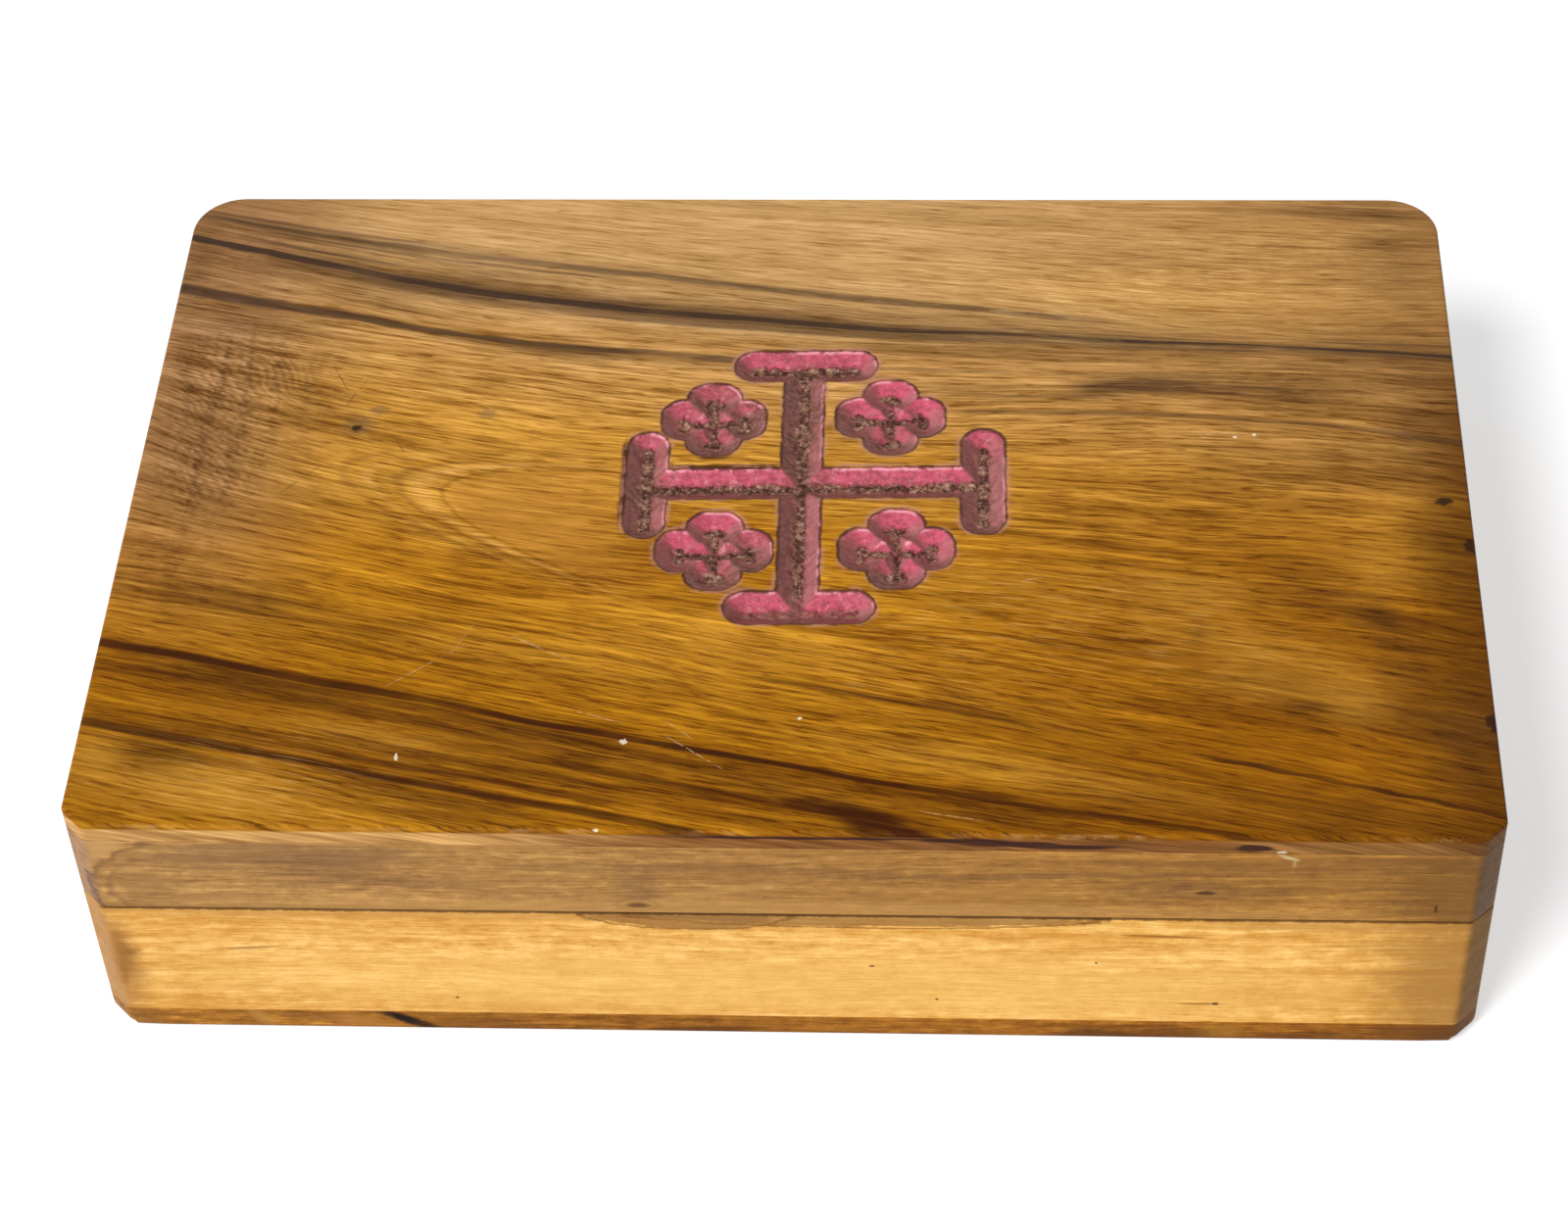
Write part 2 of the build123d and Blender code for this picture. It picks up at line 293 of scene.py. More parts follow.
def spaced(*stretches):
    """Grid lines in even steps along stretches, each (start, end, longest step)."""
    parts = [np.linspace(start, end, max(2, math.ceil(abs(end - start) / step) + 1))[:-1]
             for start, end, step in stretches]
    return np.concatenate(parts + [[stretches[-1][1]]])


def grain_level(x, y):
    """The level of the grain at a place: between two neighbouring grain lines it rises evenly
    from the front one's level to the back one's, and each line is a fourth-degree curve
    through its places."""
    lines = [(level, np.polyval(np.polyfit(*zip(*places), min(4, len(places) - 1)), x))
             for level, places in grain_lines]
    total = lines[0][0] + np.minimum(y - lines[0][1], 0)
    for (low, front), (high, back) in zip(lines, lines[1:]):
        total = total + (high - low) * np.clip((y - front) / (back - front), 0, 1)
    return total + np.maximum(y - lines[-1][1], 0)


def ring_level(x, y):
    """The level of the growth rings: the grain's, less a hump that lengthens to the right
    from the tip of the pointed figure, so that the rings close round the tip in arches."""
    beyond_tip = x + 46 - 0.10 * (y + 1.8) ** 2
    hump = 16 * np.clip(beyond_tip / 44, 0, 1)
    return grain_level(x, y) - hump * np.exp(-((y + 1.8 + 0.20 * (x + 44)) / 10.0) ** 2)


def arch_at(x, y):
    """How far inside the pointed figure left of the cross a place lies, along the grain: its
    outline is a parabola with its tip at (-45, -0.4), which widens to the right round a line
    that falls 0.29 a millimetre."""
    return x + 45 - 0.23 * (y + 0.4 + 0.29 * (x + 45)) ** 2


def marks_at(x, y, marks):
    """The sum of soft oval marks: each is its strength times e to minus the square of the
    distance from its middle, measured in its half lengths along and across its slope."""
    total = np.zeros_like(x)
    for middle_x, middle_y, half_long, half_wide, slope, strength in marks:
        turn = math.radians(slope)
        along = (x - middle_x) * math.cos(turn) + (y - middle_y) * math.sin(turn)
        beside = (y - middle_y) * math.cos(turn) - (x - middle_x) * math.sin(turn)
        total += strength * np.exp(-(along / half_long) ** 2 - (beside / half_wide) ** 2)
    return total


def carving_at(x, y):
    """Depth of the carving, distance inside its outline, and distance from the nearest cut's
    middle line. Each cut's flanks fall evenly from its edge to its flat bottom, and both
    bends are rounded: the even fall f becomes (f + root of (f squared + a small square)) / 2.
    The outline wobbles by sums of sines, and the narrow stems count as a little further off."""
    east, north = x - carving_middle[0], y - carving_middle[1]
    across = east * math.cos(carving_turn) + north * math.sin(carving_turn)
    upward = north * math.cos(carving_turn) - east * math.sin(carving_turn)
    wobble = 0.045 * np.sin(1.9 * across + 1.3 * upward)
    wobble = wobble + 0.025 * np.sin(3.7 * upward - 2.3 * across)
    depth, inside, middle = np.zeros_like(x), np.full_like(x, -99.0), np.full_like(x, 99.0)
    for start, end, width, deepest, flat in cuts:
        run = np.subtract(end, start)
        share = (across - start[0]) * run[0] + (upward - start[1]) * run[1]
        share = np.clip(share / float(run @ run), 0, 1)
        away = np.hypot(across - start[0] - share * run[0], upward - start[1] - share * run[1])
        from_edge = width / 2 - away + wobble
        slope = deepest / (width / 2 - flat)
        fall = (from_edge + np.sqrt(from_edge ** 2 + 0.03)) / 2 * slope
        fall = deepest - (deepest - fall + np.sqrt((deepest - fall) ** 2 + 0.02)) / 2
        depth = np.maximum(depth, np.where(away < width / 2 + 1.2, fall, 0))
        inside = np.maximum(inside, from_edge)
        middle = np.minimum(middle, away + (0.25 if width < 4 else 0))
    return depth, inside, middle


def box_outline(back_marks=()):
    """The box seen from above, anticlockwise from the middle of its cut front-left corner:
    points, the directions they face, and the numbers of the four mitres. A corner's point is
    its middle plus its radius times the direction that it faces. Straight stretches are even
    shares between two corners, and back_marks are more places on the back one."""
    ease = softened * math.tan(math.radians(22.5))
    near_x, near_y = half_x - front_cut - ease, half_y - front_cut - ease
    front, side, back = softened - half_y, half_x - softened, half_y - back_round
    # Each corner: middle, radius, bearings, points in it, shares after it, and its mitre.
    corners = [(-near_x, front, softened, 225, 270, 6, 45, None),
               (near_x, front, softened, 270, 315, 6, 2, 6),
               (side, -near_y, softened, 315, 360, 6, 45, None),
               (half_x - back_round, back, back_round, 0, 90, 17, 45, 8),
               (back_round - half_x, back, back_round, 90, 180, 17, 45, 8),
               (-side, -near_y, softened, 180, 225, 6, 1, None)]
    points = [np.array([(front_cut / 2 - half_x, front_cut / 2 - half_y)])]
    faced, mitres, count = [np.array([(-0.5, -0.5)]) * 2 ** 0.5], [0], 1
    for corner, following in zip(corners, corners[1:] + corners[:1]):
        x, y, radius, low, high, steps, stretches, mitre = corner
        turns = np.radians(np.linspace(low, high, steps))
        ways = np.stack([np.cos(turns), np.sin(turns)], -1)
        start = np.array([(x, y)]) + radius * ways[-1:]
        end = np.array([following[:2]]) + following[2] * ways[-1:]
        shares = np.linspace(0, 1, stretches + 1)[1:-1]
        if high == 90:
            marks = [(start[0, 0] - mark) / (start[0, 0] - end[0, 0]) for mark in back_marks]
            shares = np.unique(np.concatenate([shares, marks]))
        if mitre:
            mitres.append(count + mitre)
        points += [(x, y) + radius * ways, start + shares[:, None] * (end - start)]
        faced += [ways, np.repeat(ways[-1:], len(shares), 0)]
        count += steps + len(shares)
    return np.concatenate(points), np.concatenate(faced), mitres


def mixed(values, *ways):
    """Half the sum of a grid of random values and of it rolled by each of three ways."""
    return (values + sum(np.roll(values, way, (0, 1)) for way in ways)) / 2


# The top is one grid, fine over the carving. Its rows lie at the heights of the outline's
# right side, and beyond steady_x they are drawn in to end on it.
coarse_step, fine_step = 1.7, 0.24
fine_left, fine_right, fine_front, fine_back = -22.4, 27.4, -23.8, 26.4
steady_x = 60
outline, faced, mitres = box_outline()
right_start = int(np.argmax(outline[:, 0] > half_x - front_cut - softened / 2))
right_side = np.arange(right_start, mitres[2] + 9)
border = outline[right_side] - panel_arris * faced[right_side]
bearing = np.degrees(np.arctan2(faced[right_side, 1], faced[right_side, 0]))
first_straight = int(np.argmax(bearing > -1e-6))
last_straight = len(bearing) - 1 - int(np.argmax(bearing[::-1] < 1e-6))
straight = spaced((border[first_straight, 1], fine_front, coarse_step),
                  (fine_front, fine_back, fine_step),
                  (fine_back, border[last_straight, 1], coarse_step))
rows_y = np.concatenate([border[:first_straight, 1], straight, border[last_straight + 1:, 1]])
inner_x = half_x - panel_arris
lines_x = spaced((-inner_x, fine_left, coarse_step), (fine_left, fine_right, fine_step),
                 (fine_right, inner_x, coarse_step))
grid_x, grid_y = np.meshgrid(lines_x, rows_y)
reach = np.interp(rows_y, border[:, 1], border[:, 0])[:, None]
side_bearing = np.radians(np.interp(rows_y, border[:, 1], bearing))
drawn_in = np.clip(np.abs(grid_x) - steady_x, 0, None)
drawn_in = drawn_in * (reach - steady_x) / (inner_x - steady_x)
grid_x = np.sign(grid_x) * (np.minimum(np.abs(grid_x), steady_x) + drawn_in)
rows, columns = grid_x.shape

# The bottoms of the cuts are rough, coarsely and finely, by random draws.
depth, inside, middle = carving_at(grid_x, grid_y)
grit = mixed(np.random.default_rng(12).normal(0, 1, grid_x.shape), (1, 0), (0, 1), (1, 1))
roughness_share = np.clip((1.15 - middle) / 0.5, 0, 1) * np.clip(inside / 0.5, 0, 1)
coarse = np.random.default_rng(5).normal(0, 1, (1 + rows // 3, 1 + columns // 3))
coarse = mixed(coarse.repeat(3, 0).repeat(3, 1)[:rows, :columns], (2, 0), (0, 2), (1, -1))
depth = depth + (0.07 * grit + 0.10 * coarse) * roughness_share
depth = depth + 0.012 * grit * np.clip(inside / 0.4, 0, 1)
slip = 0.12
slant_x, slant_y = ((carving_at(grid_x + slip * east, grid_y + slip * north)[0]
                     - carving_at(grid_x - slip * east, grid_y - slip * north)[0]) / (2 * slip)
                    for east, north in ((1, 0), (0, 1)))
top_points = np.stack([grid_x, grid_y, panel_top - depth], -1).reshape(-1, 3)

# The edge goes down from the grid's border in rings: the arris, the edge and a hair's bevel.
index = np.arange(rows * columns).reshape(rows, columns)
rim = np.concatenate([index[0, :-1], index[:-1, -1], index[-1, :0:-1], index[:0:-1, 0]])
rim_points = top_points[rim]
right_ways = np.stack([np.cos(side_bearing), np.sin(side_bearing)], -1)
outward = np.concatenate([np.tile((0.0, -1.0), (columns - 1, 1)), right_ways[:-1],
                          np.tile((0.0, 1.0), (columns - 1, 1)), right_ways[:0:-1] * (-1, 1)])
bend = np.radians(np.linspace(0, 90, 6))[1:]
outset = panel_arris * np.sin(bend)
outset = np.concatenate([outset, [panel_arris, panel_arris, panel_arris - 0.1]])
drop = np.concatenate([panel_arris * (1 - np.cos(bend)), [1.5, 2.7, panel_top - panel_foot]])
edge_heights = np.broadcast_to((panel_top - drop)[:, None, None], (len(drop), len(rim), 1))
edge_points = np.concatenate([rim_points[None, :, :2] + outset[:, None, None] * outward[None],
                              edge_heights], -1)
ring_index = np.concatenate([rim[None, :], len(top_points)
                             + np.arange(len(drop) * len(rim)).reshape(len(drop), -1)])
edge_faces = wrapped(ring_index).tolist()
panel_points = np.concatenate([top_points, edge_points.reshape(-1, 3)])
panel_faces = lattice(index).tolist() + edge_faces + [ring_index[-1, ::-1].tolist()]
edge_x, edge_y = (np.broadcast_to(rim_points[:, axis], (len(drop), len(rim))) for axis in (0, 1))
over_side = np.where(np.abs(outward[:, 1]) > 0.5, -np.sign(outward[:, 1]), 0.4)
over_side = over_side * 0.9 * drop[:, None]
every_x, every_y = np.append(grid_x, edge_x), np.append(grid_y, edge_y)
bare = np.full(edge_x.size, -99.0)
panel_fields = {
    "across": np.append(grain_level(grid_x, grid_y), grain_level(edge_x, edge_y) - over_side),
    "rings": np.append(ring_level(grid_x, grid_y), ring_level(edge_x, edge_y) - over_side),
    "arch": np.append(arch_at(grid_x, grid_y), bare),
    "along": panel_points[:, 0],
    "smoky_and_shaded": marks_at(every_x, every_y, smoke_and_shade_marks),
    "golden": marks_at(every_x, every_y, golden_marks),
    "curly": marks_at(every_x, every_y, curly_marks),
    "glinting": np.append(marks_at(grid_x, grid_y, glinting_marks), 0 * bare),
    "worn": np.append(marks_at(grid_x, grid_y, worn_marks), 0 * bare),
    "inside": np.append(inside, bare),
    "middle": np.append(middle, -bare),
    "back_wall": np.append(-slant_y, 0 * bare),
    "right_wall": np.append(-slant_x, 0 * bare),
}


def tone(red, green, blue):
    """The colour that shows on a screen as these three numbers from 0 to 255. A number c is
    first made a share of 255, and then ((c + 0.055) / 1.055) to the power 2.4."""
    shares = np.array([red, green, blue]) / 255
    linear = np.where(shares <= 0.04045, shares / 12.92, ((shares + 0.055) / 1.055) ** 2.4)
    return (*map(float, linear), 1.0)


def between(value, low, high, lowest=0.0, highest=1.0, rise="SMOOTHSTEP"):
    """A rise from lowest to highest as the value goes from low to high, smooth unless LINEAR."""
    return Amount(add(value.socket.id_data, "MapRange", value, low, high, lowest, highest,
                      interpolation_type=rise).outputs[0])


def capped(value, highest):
    """The value, kept between 0 and highest."""
    return Amount(add(value.socket.id_data, "Clamp", value, 0.0, highest).outputs[0])


def coated(colour, *coats):
    """A colour with others laid over it in turn, each (share from 0 to 1, colour, how it
    blends). The colours are a Mix node's last two inputs."""
    for share, coat, *blend in coats:
        colour = add(share.socket.id_data, "Mix", share, *[None] * 5, colour, coat,
                     data_type="RGBA", blend_type=blend[0] if blend else "MIX").outputs[2]
    return colour


def stepped(value, *stops):
    """A run of colours: (position from 0 to 1, tone) pairs."""
    node = add(value.socket.id_data, "ValToRGB", value)
    node.color_ramp.interpolation = "EASE"
    while len(node.color_ramp.elements) < len(stops):
        node.color_ramp.elements.new(1.0)
    for element, (position, *colour) in zip(node.color_ramp.elements, stops):
        element.position, element.color = position, tone(*colour)
    return node.outputs[0]


def field(tree, name):
    """A number kept on the mesh's points."""
    return Amount(add(tree, "Attribute", attribute_name=name,
                      attribute_type="GEOMETRY").outputs["Fac"])


def scaled(place, factors):
    """A place with its three numbers multiplied by factors."""
    return add(place.id_data, "VectorMath", place, factors, operation="MULTIPLY").outputs[0]


def moved(place, shift):
    """A place with a shift added to it."""
    return add(place.id_data, "VectorMath", place, shift, operation="ADD").outputs[0]


def joined(x, y, z=0.0):
    """The place with these three numbers."""
    return add(y.socket.id_data, "CombineXYZ", x, y, z).outputs[0]


def parted(place):
    """The three numbers of a place."""
    return [Amount(part) for part in add(place.id_data, "SeparateXYZ", place).outputs]


def place_on(tree):
    """The place on the object, in millimetres."""
    return scaled(add(tree, "TexCoord").outputs["Object"], (1000, 1000, 1000))


def figure(place, stretch, detail=2.0, roughness=0.5):
    """Irregular wood figure: noise whose cells per millimetre are given for each direction."""
    return Amount(add(place.id_data, "TexNoise", scaled(place, stretch), None, 1.0, detail,
                      roughness).outputs[0])


def summed(*parts):
    """Figure as one number, dark above 0 and light below it. Each part is a noise, the levels
    from and to which it counts as dark and its most there, and the same for light."""
    total = 0.0
    for noise, dark_from, dark_to, dark_most, light_from, light_to, light_most in parts:
        total = total + between(noise, dark_from, dark_to, 0.0, dark_most)
        total = total - between(noise, light_from, light_to, 0.0, light_most)
    return total


def closeness(oval):
    """One less the distance of a place, which is measured in an oval's half lengths."""
    away = add(oval.id_data, "VectorMath", oval, operation="LENGTH").outputs["Value"]
    return 1.0 - Amount(away)


def near(place, spots):
    """How near a place is to the nearest of some ovals: 1 at a middle, 0 at its outline.
    Each is (x, y, z, half length, half width), measured in millimetres."""
    return functools.reduce(Amount.larger, [
        closeness(scaled(moved(place, (-x, -y, -z)), (1 / long, 1 / wide, 1 / wide)))
        for x, y, z, long, wide in spots])


def scratched(place, scratches):
    """How near a place is to the nearest of some straight scratches: 1 on its line, 0 at its
    half width. Each is (x, y, half length, half width, slope in degrees), in millimetres."""
    lines = []
    for x, y, half_long, half_wide, slope in scratches:
        east, north = math.cos(math.radians(slope)), math.sin(math.radians(slope))
        run, beside = (abs(Amount(add(place.id_data, "VectorMath", moved(place, (-x, -y, 0)), way,
                                      operation="DOT_PRODUCT").outputs["Value"]))
                       for way in ((east, north, 0), (-north, east, 0)))
        lines.append(between(run, half_long, 0.6 * half_long) * between(beside, half_wide, 0.0))
    return functools.reduce(Amount.larger, lines)


def finished(colour, roughness, height, depth, shine, strength=1.0, metallic=0.0):
    """A surface: its colour, roughness, a height map depth millimetres high, and its shine."""
    tree = colour.id_data
    relief = add(tree, "Bump", strength, depth * 0.001)
    tree.links.new(height.socket, relief.inputs["Height"])
    surface = add(tree, "BsdfPrincipled", colour, metallic, roughness)
    surface.inputs["Specular IOR Level"].default_value = shine
    tree.links.new(relief.outputs[0], surface.inputs["Normal"])
    add(tree, "OutputMaterial", surface.outputs[0])


# Each vein: its level, half width at its left and right end, how soft its edge is, where it
# starts and ends along the board, how long it takes to fade there, and its strength.
dark_veins = [
    (35.9, 0.42, 0.24, 1.3, -90, 44, 14, 0.7), (34.6, 0.16, 0.12, 0.4, -76, -22, 8, 0.6),
    (37.3, 0.3, 0.15, 0.6, -86, -40, 8, 0.55), (30, 0.5, 0.4, 0.75, -104, 110, 12, 0.96),
    (29.7, 1.25, 0.85, 1.7, -76, 112, 24, 0.55), (32.2, 0.3, 0.25, 0.6, -78, -50, 8, 0.55),
    (28.4, 0.25, 0.2, 0.6, -34, 64, 8, 0.6), (31.4, 0.22, 0.25, 0.7, 20, 60, 10, 0.55),
    (33, 0.2, 0.2, 0.8, 60, 94, 8, 0.55), (22.6, 0.56, 0.22, 1, -100, 2, 12, 0.88),
    (21.9, 0.5, 0.7, 1.6, -62, 0, 16, 0.35), (22.2, 0.2, 0.16, 0.5, -14, 74, 12, 0.42),
    (19.6, 0.5, 0.25, 1, 32, 60, 6, 0.55), (15.1, 0.2, 0.2, 0.95, 14, 92, 12, 0.58),
    (20.6, 0.18, 0.12, 0.5, 30, 66, 8, 0.6), (17.8, 0.14, 0.1, 0.4, 20, 44, 8, 0.5),
    (-31.9, 0.2, 0.2, 0.5, -10, 36, 10, 0.6), (-44.6, 0.55, 0.25, 0.5, -90, 30, 8, 0.95),
    (-44.9, 0.25, 0.22, 0.5, 12, 90, 12, 0.8), (-45.9, 0.4, 0.2, 0.9, -70, -10, 12, 0.6),
    (-56.7, 0.5, 0.3, 0.65, -90, -2, 10, 0.82), (-50.2, 0.5, 0.7, 0.8, -2, 16, 4, 0.9),
    (-52, 0.9, 0.7, 0.8, 5, 40, 5, 0.97), (-50.4, 0.3, 0.25, 0.6, -34, 14, 10, 0.65),
    (-31.8, 0.34, 0.25, 0.5, 46, 90, 6, 0.95), (-36.5, 0.2, 0.15, 0.6, 20, 70, 12, 0.42),
    (-54.6, 0.22, 0.2, 0.7, -60, -14, 12, 0.5)]

lid_panel_wood, tree = emptied(bpy.data.materials.new("lid_panel_wood"))
across, along, golden, curly = (
    field(tree, name) for name in ("across", "along", "golden", "curly"))
spot = place_on(tree)
wandering = figure(joined(along, across), (0.03, 0.09, 0), 2.0, 0.45) * 2.4 - 1.2
level, ring = across + wandering, field(tree, "rings") + wandering
wavy = joined(along, level)
fibres = figure(wavy, (0.11, 2.1, 0), 2.0, 0.6)
dashes = figure(wavy, (0.17, 3.9, 0), 2.0, 0.6)
pores = figure(wavy, (0.26, 3.1, 7.0), 1.0, 0.5)
streaks = figure(wavy, (0.035, 0.85, 0), 3.0, 0.58)
bands = figure(joined(along, ring), (0.014, 0.3, 0), 3.0, 0.5)
patches = figure(spot, (0.045, 0.075, 0.05), 3.0, 0.55)
curl = figure(spot, (0.75, 0.9, 0.5), 3.0, 0.65)
pillars = figure(spot, (0.34, 0.05, 0.1), 3.0, 0.55)
crumbs = figure(spot, (1.1, 1.3, 1.1), 3.0, 0.65)
wear = figure(spot, (0.3, 0.38, 0.3), 4.0, 0.65)

# The board's colours from front to back, redder and deeper to the right, browner at the back left.
# They grow paler and greyer towards the back, a painted sheen of the lacquer laid into the wood's
# own colours.
board_level = ring * (1 / 120) + 62 / 120
deep_amber = between(along, -10.0, 60.0) * between(level, 20.0, -14.0, 0.0, 0.95)
brown_corner = between(along, -52.0, -76.0) * between(level, -50.0, -8.0, 0.0, 0.92)
back_right = between(along, 10.0, 70.0) * between(level, 0.0, 20.0, 0.0, 0.62)
# Painted shade darkens the board along its right edge, away from the lamp.
right_edge_shade = between(along, 71.0, 82.5, 0.0, 0.85) * between(level, 36.0, 18.0, 0.35, 1.0)
colour = stepped(
    board_level, (0.0, 164, 106, 14), (0.06, 156, 98, 12), (0.13, 148, 92, 10),
    (0.2, 172, 112, 14), (0.32, 184, 122, 24), (0.46, 197, 138, 46), (0.56, 197, 138, 50),
    (0.64, 196, 142, 70), (0.7, 204, 151, 84), (0.78, 186, 142, 88), (0.88, 202, 155, 98),
    (1.0, 202, 157, 101))
colour = coated(
    colour, (deep_amber, tone(144, 87, 6)), (brown_corner, tone(158, 114, 72)),
    (back_right, tone(174, 122, 58)),
    (golden * between(streaks, 0.25, 0.6, 0.6, 1.0), tone(212, 154, 58)),
    (right_edge_shade, tone(96, 54, 4)))

# The figure is added up as light (below 0) and dark (above 0): broad bands, patches, streaks,
# fibres and short pores, each counted where it is above or below its usual level.
lively = between(level, 44.0, 8.0, 0.52, 1.0) * between(level, -18.0, -44.0, 1.0, 1.16)
lively = lively * between(along + level, -62.0, -92.0, 1.0, 0.82)
lively = lively * between(along - level, 50.0, 95.0, 1.0, 0.78)
lively = lively * between(golden, 0.0, 0.6, 0.97, 0.6)
figured = summed(
    (bands, 0.5, 0.68, 0.34, 0.5, 0.34, 0.26), (patches, 0.54, 0.74, 0.26, 0.44, 0.28, 0.14),
    (streaks, 0.5, 0.66, 0.46, 0.48, 0.33, 0.3), (fibres, 0.52, 0.66, 0.66, 0.47, 0.33, 0.36),
    (dashes, 0.54, 0.64, 0.58, 0.44, 0.33, 0.26), (pores, 0.6, 0.68, 0.66, 0.0, -1.0, 0.0))
rippled = summed(
    (pillars, 0.5, 0.64, 0.3, 0.47, 0.34, 0.3), (curl, 0.5, 0.66, 0.5, 0.46, 0.34, 0.3))
figured = curly * rippled + figured * lively

# Curly patches have bars across the grain, broad ones and fine ones.
spot_x, spot_y, spot_z = parted(spot)
bar_wave = (spot_x * 1.55 + pillars * 9.0).wave()
bar_share = between(bar_wave, -0.3, 1.0) * between(curl, 0.36, 0.62, 0.3, 1.0)
fine_wave = (spot_y * 4.6 + spot_x * 5.2 + patches * 60.0).wave()
figured = between(curly, 0.2, 0.9, 0.0, 0.22) * fine_wave + figured
smoke_and_shade = field(tree, "smoky_and_shaded") * between(patches, 0.3, 0.6, 0.85, 1.4)
smoke_and_shade = smoke_and_shade * between(streaks, 0.32, 0.58, 0.7, 1.2)
smoke_and_shade_colour = stepped(board_level, (0.0, 80, 42, 6), (0.45, 100, 60, 16), (0.7, 108, 74, 40))

# Ring lines close round the pointed figure left of the cross.
arch = streaks * 3.0 + field(tree, "arch") - 1.5
before_cross = between(along, -14, -30) * between(field(tree, "arch"), -26, -8)
tongue = between(arch, 0.4, 3.4) * before_cross
figured = figured * between(tongue, 0.0, 1.0, 1.0, 0.7)
ring_lines = [
    (between(abs(arch - ring_at), width, 0.0, 0.0, most) * before_cross, tone(*ring_tone))
    for ring_at, width, most, *ring_tone in (
        (-1.8, 2.4, 0.55, 222, 164, 82), (1.1, 0.7, 0.5, 132, 84, 30),
        (-4.6, 1.2, 0.5, 136, 90, 38), (-8.4, 1.5, 0.36, 214, 158, 80),
        (-11.6, 1.5, 0.44, 138, 92, 42), (-18.0, 2.0, 0.34, 138, 92, 42))]
colour = coated(
    colour, (between(curly, 0.15, 0.8, 0.0, 0.44) * bar_share, tone(98, 66, 42)),
    (capped(smoke_and_shade, 0.9), smoke_and_shade_colour), (tongue * 0.7, tone(184, 124, 46)), *ring_lines,
    (capped(figured, 1.3), (0.40, 0.30, 0.14, 1.0), "MULTIPLY"),
    (capped(figured * -1.0, 0.7), (1.9, 2.15, 2.9, 1.0), "MULTIPLY"))

veins = []
frayed = dashes * 0.9 + streaks * 1.1 - 1.0
for vein_level, left_width, right_width, softness, start, end, fade, strength in dark_veins:
    away = frayed * softness + abs(level - vein_level)
    away = away - between(along, start, end, left_width, right_width, "LINEAR")
    vein = between(away, softness * 0.5, -0.3 * right_width, 0.0, strength)
    vein = vein * between(along, start, start + fade)
    veins.append(vein * between(along, end, end - fade))
vein = functools.reduce(Amount.larger, veins) * between(patches, 0.28, 0.5, 0.7, 1.0)
vein_colour = stepped(board_level, (0.0, 56, 20, 2), (0.4, 68, 32, 6), (0.62, 66, 44, 30),
                      (0.8, 60, 42, 32))
glint = between(dashes, 0.46, 0.34) * field(tree, "glinting")

# Knots with rings round them, and small cracks by the left knot.
knot = near(spot, [(79.3, -1.5, 38.2, 1.5, 1.0), (82.0, -9.0, 38.2, 1.2, 1.8),
                   (-55.8, 10.5, 38.2, 1.0, 0.8), (82.2, -37.5, 38.2, 1.3, 2.2)])
knot = between(crumbs * 1.6 + knot, 0.95, 1.35, 0.0, 0.92)
ring_round = near(spot, [(-55.6, 10.9, 38.2, 2.6, 1.9), (-39.5, 13.2, 38.2, 1.7, 1.2),
                         (-53.2, 13.8, 38.2, 1.6, 1.2)])
ring_round = between(crumbs * 1.3 + ring_round, 0.6, 1.25, 0.0, 0.5)
cracked = scratched(spot, [(-58.8, 19.4, 2.4, 0.22, -62), (-57.2, 15.6, 1.8, 0.2, 70),
                           (-55.6, 19.0, 1.8, 0.18, 64), (-50.0, 7.4, 1.5, 0.22, -60),
                           (-61.6, 1.5, 4.2, 0.2, 48)]) * between(crumbs, 0.4, 0.54)

# The board's edge is its end and side grain, pale at the left, with dark streaks in front.
edge_tone = coated(
    tone(220, 168, 102), (between(along, -36.0, -10.0), tone(142, 92, 48)),
    (between(along, 40.0, 62.0), tone(158, 110, 58)),
    (between(along, 72.0, 79.0), tone(124, 82, 40)),
    (between(fibres * 0.6 + streaks, 0.76, 1.0, 0.0, 0.85), (0.50, 0.42, 0.36, 1.0), "MULTIPLY"),
    (between(fibres * 0.8 + streaks, 0.9, 0.7, 0.0, 0.8), (1.45, 1.55, 1.7, 1.0), "MULTIPLY"))
on_edge = between(spot_z, panel_top - 0.35, panel_top - 0.75)
along_foot = on_edge * between(spot_z, panel_foot + 0.35, panel_foot + 0.05, 0.0, 0.45)
streaked = near(spot, [
    (-4, -55, 37.8, 24, 0.35), (4, -55, 37.4, 20, 0.3), (21, -55, 37.2, 6.5, 0.45),
    (27, -55, 36.7, 6.5, 0.6), (34, -55, 36.3, 5.5, 0.45), (54.2, -55, 36.5, 2.6, 0.7)])
streaked = between(streaks * 1.2 + streaked, 0.5, 1.0, 0.0, 0.92)
on_arris = between(spot_y, -54.55, -54.80) * between(spot_z, panel_top - 0.75, panel_top - 0.35)
rubbed = between(patches, 0.48, 0.6) * between(wear, 0.42, 0.58, 0.0, 0.3)

# Chips and scratches in the lacquer.
chip = near(spot, [(-44.6, -44.2, 38.2, 0.45, 0.8), (-18.4, -41.5, 38.2, 0.9, 0.6),
                   (2.0, -37.6, 38.2, 0.4, 0.4), (54.4, 9.6, 38.2, 0.5, 0.3),
                   (56.8, 10.0, 38.2, 0.4, 0.4), (-20.5, -54.7, 38.0, 0.7, 0.35),
                   (57.2, -55.0, 35.8, 0.9, 0.3)])
chip = between(crumbs * 2.2 + chip, 1.45, 1.65, 0.0, 0.85)
scratch = scratched(spot, [
    (-43, -30, 6.5, 0.09, 38), (-38.6, -25.2, 3.0, 0.08, 66), (-29, -27, 5.0, 0.14, -28),
    (-10, -43, 5.0, 0.14, -36), (29, -15, 1.6, 0.14, 8), (-22, -37.5, 4.0, 0.12, -18),
    (52, 10.2, 3.0, 0.1, 4), (20, -52.2, 4.0, 0.1, -10), (-12, -39.5, 2.4, 0.12, -40)])
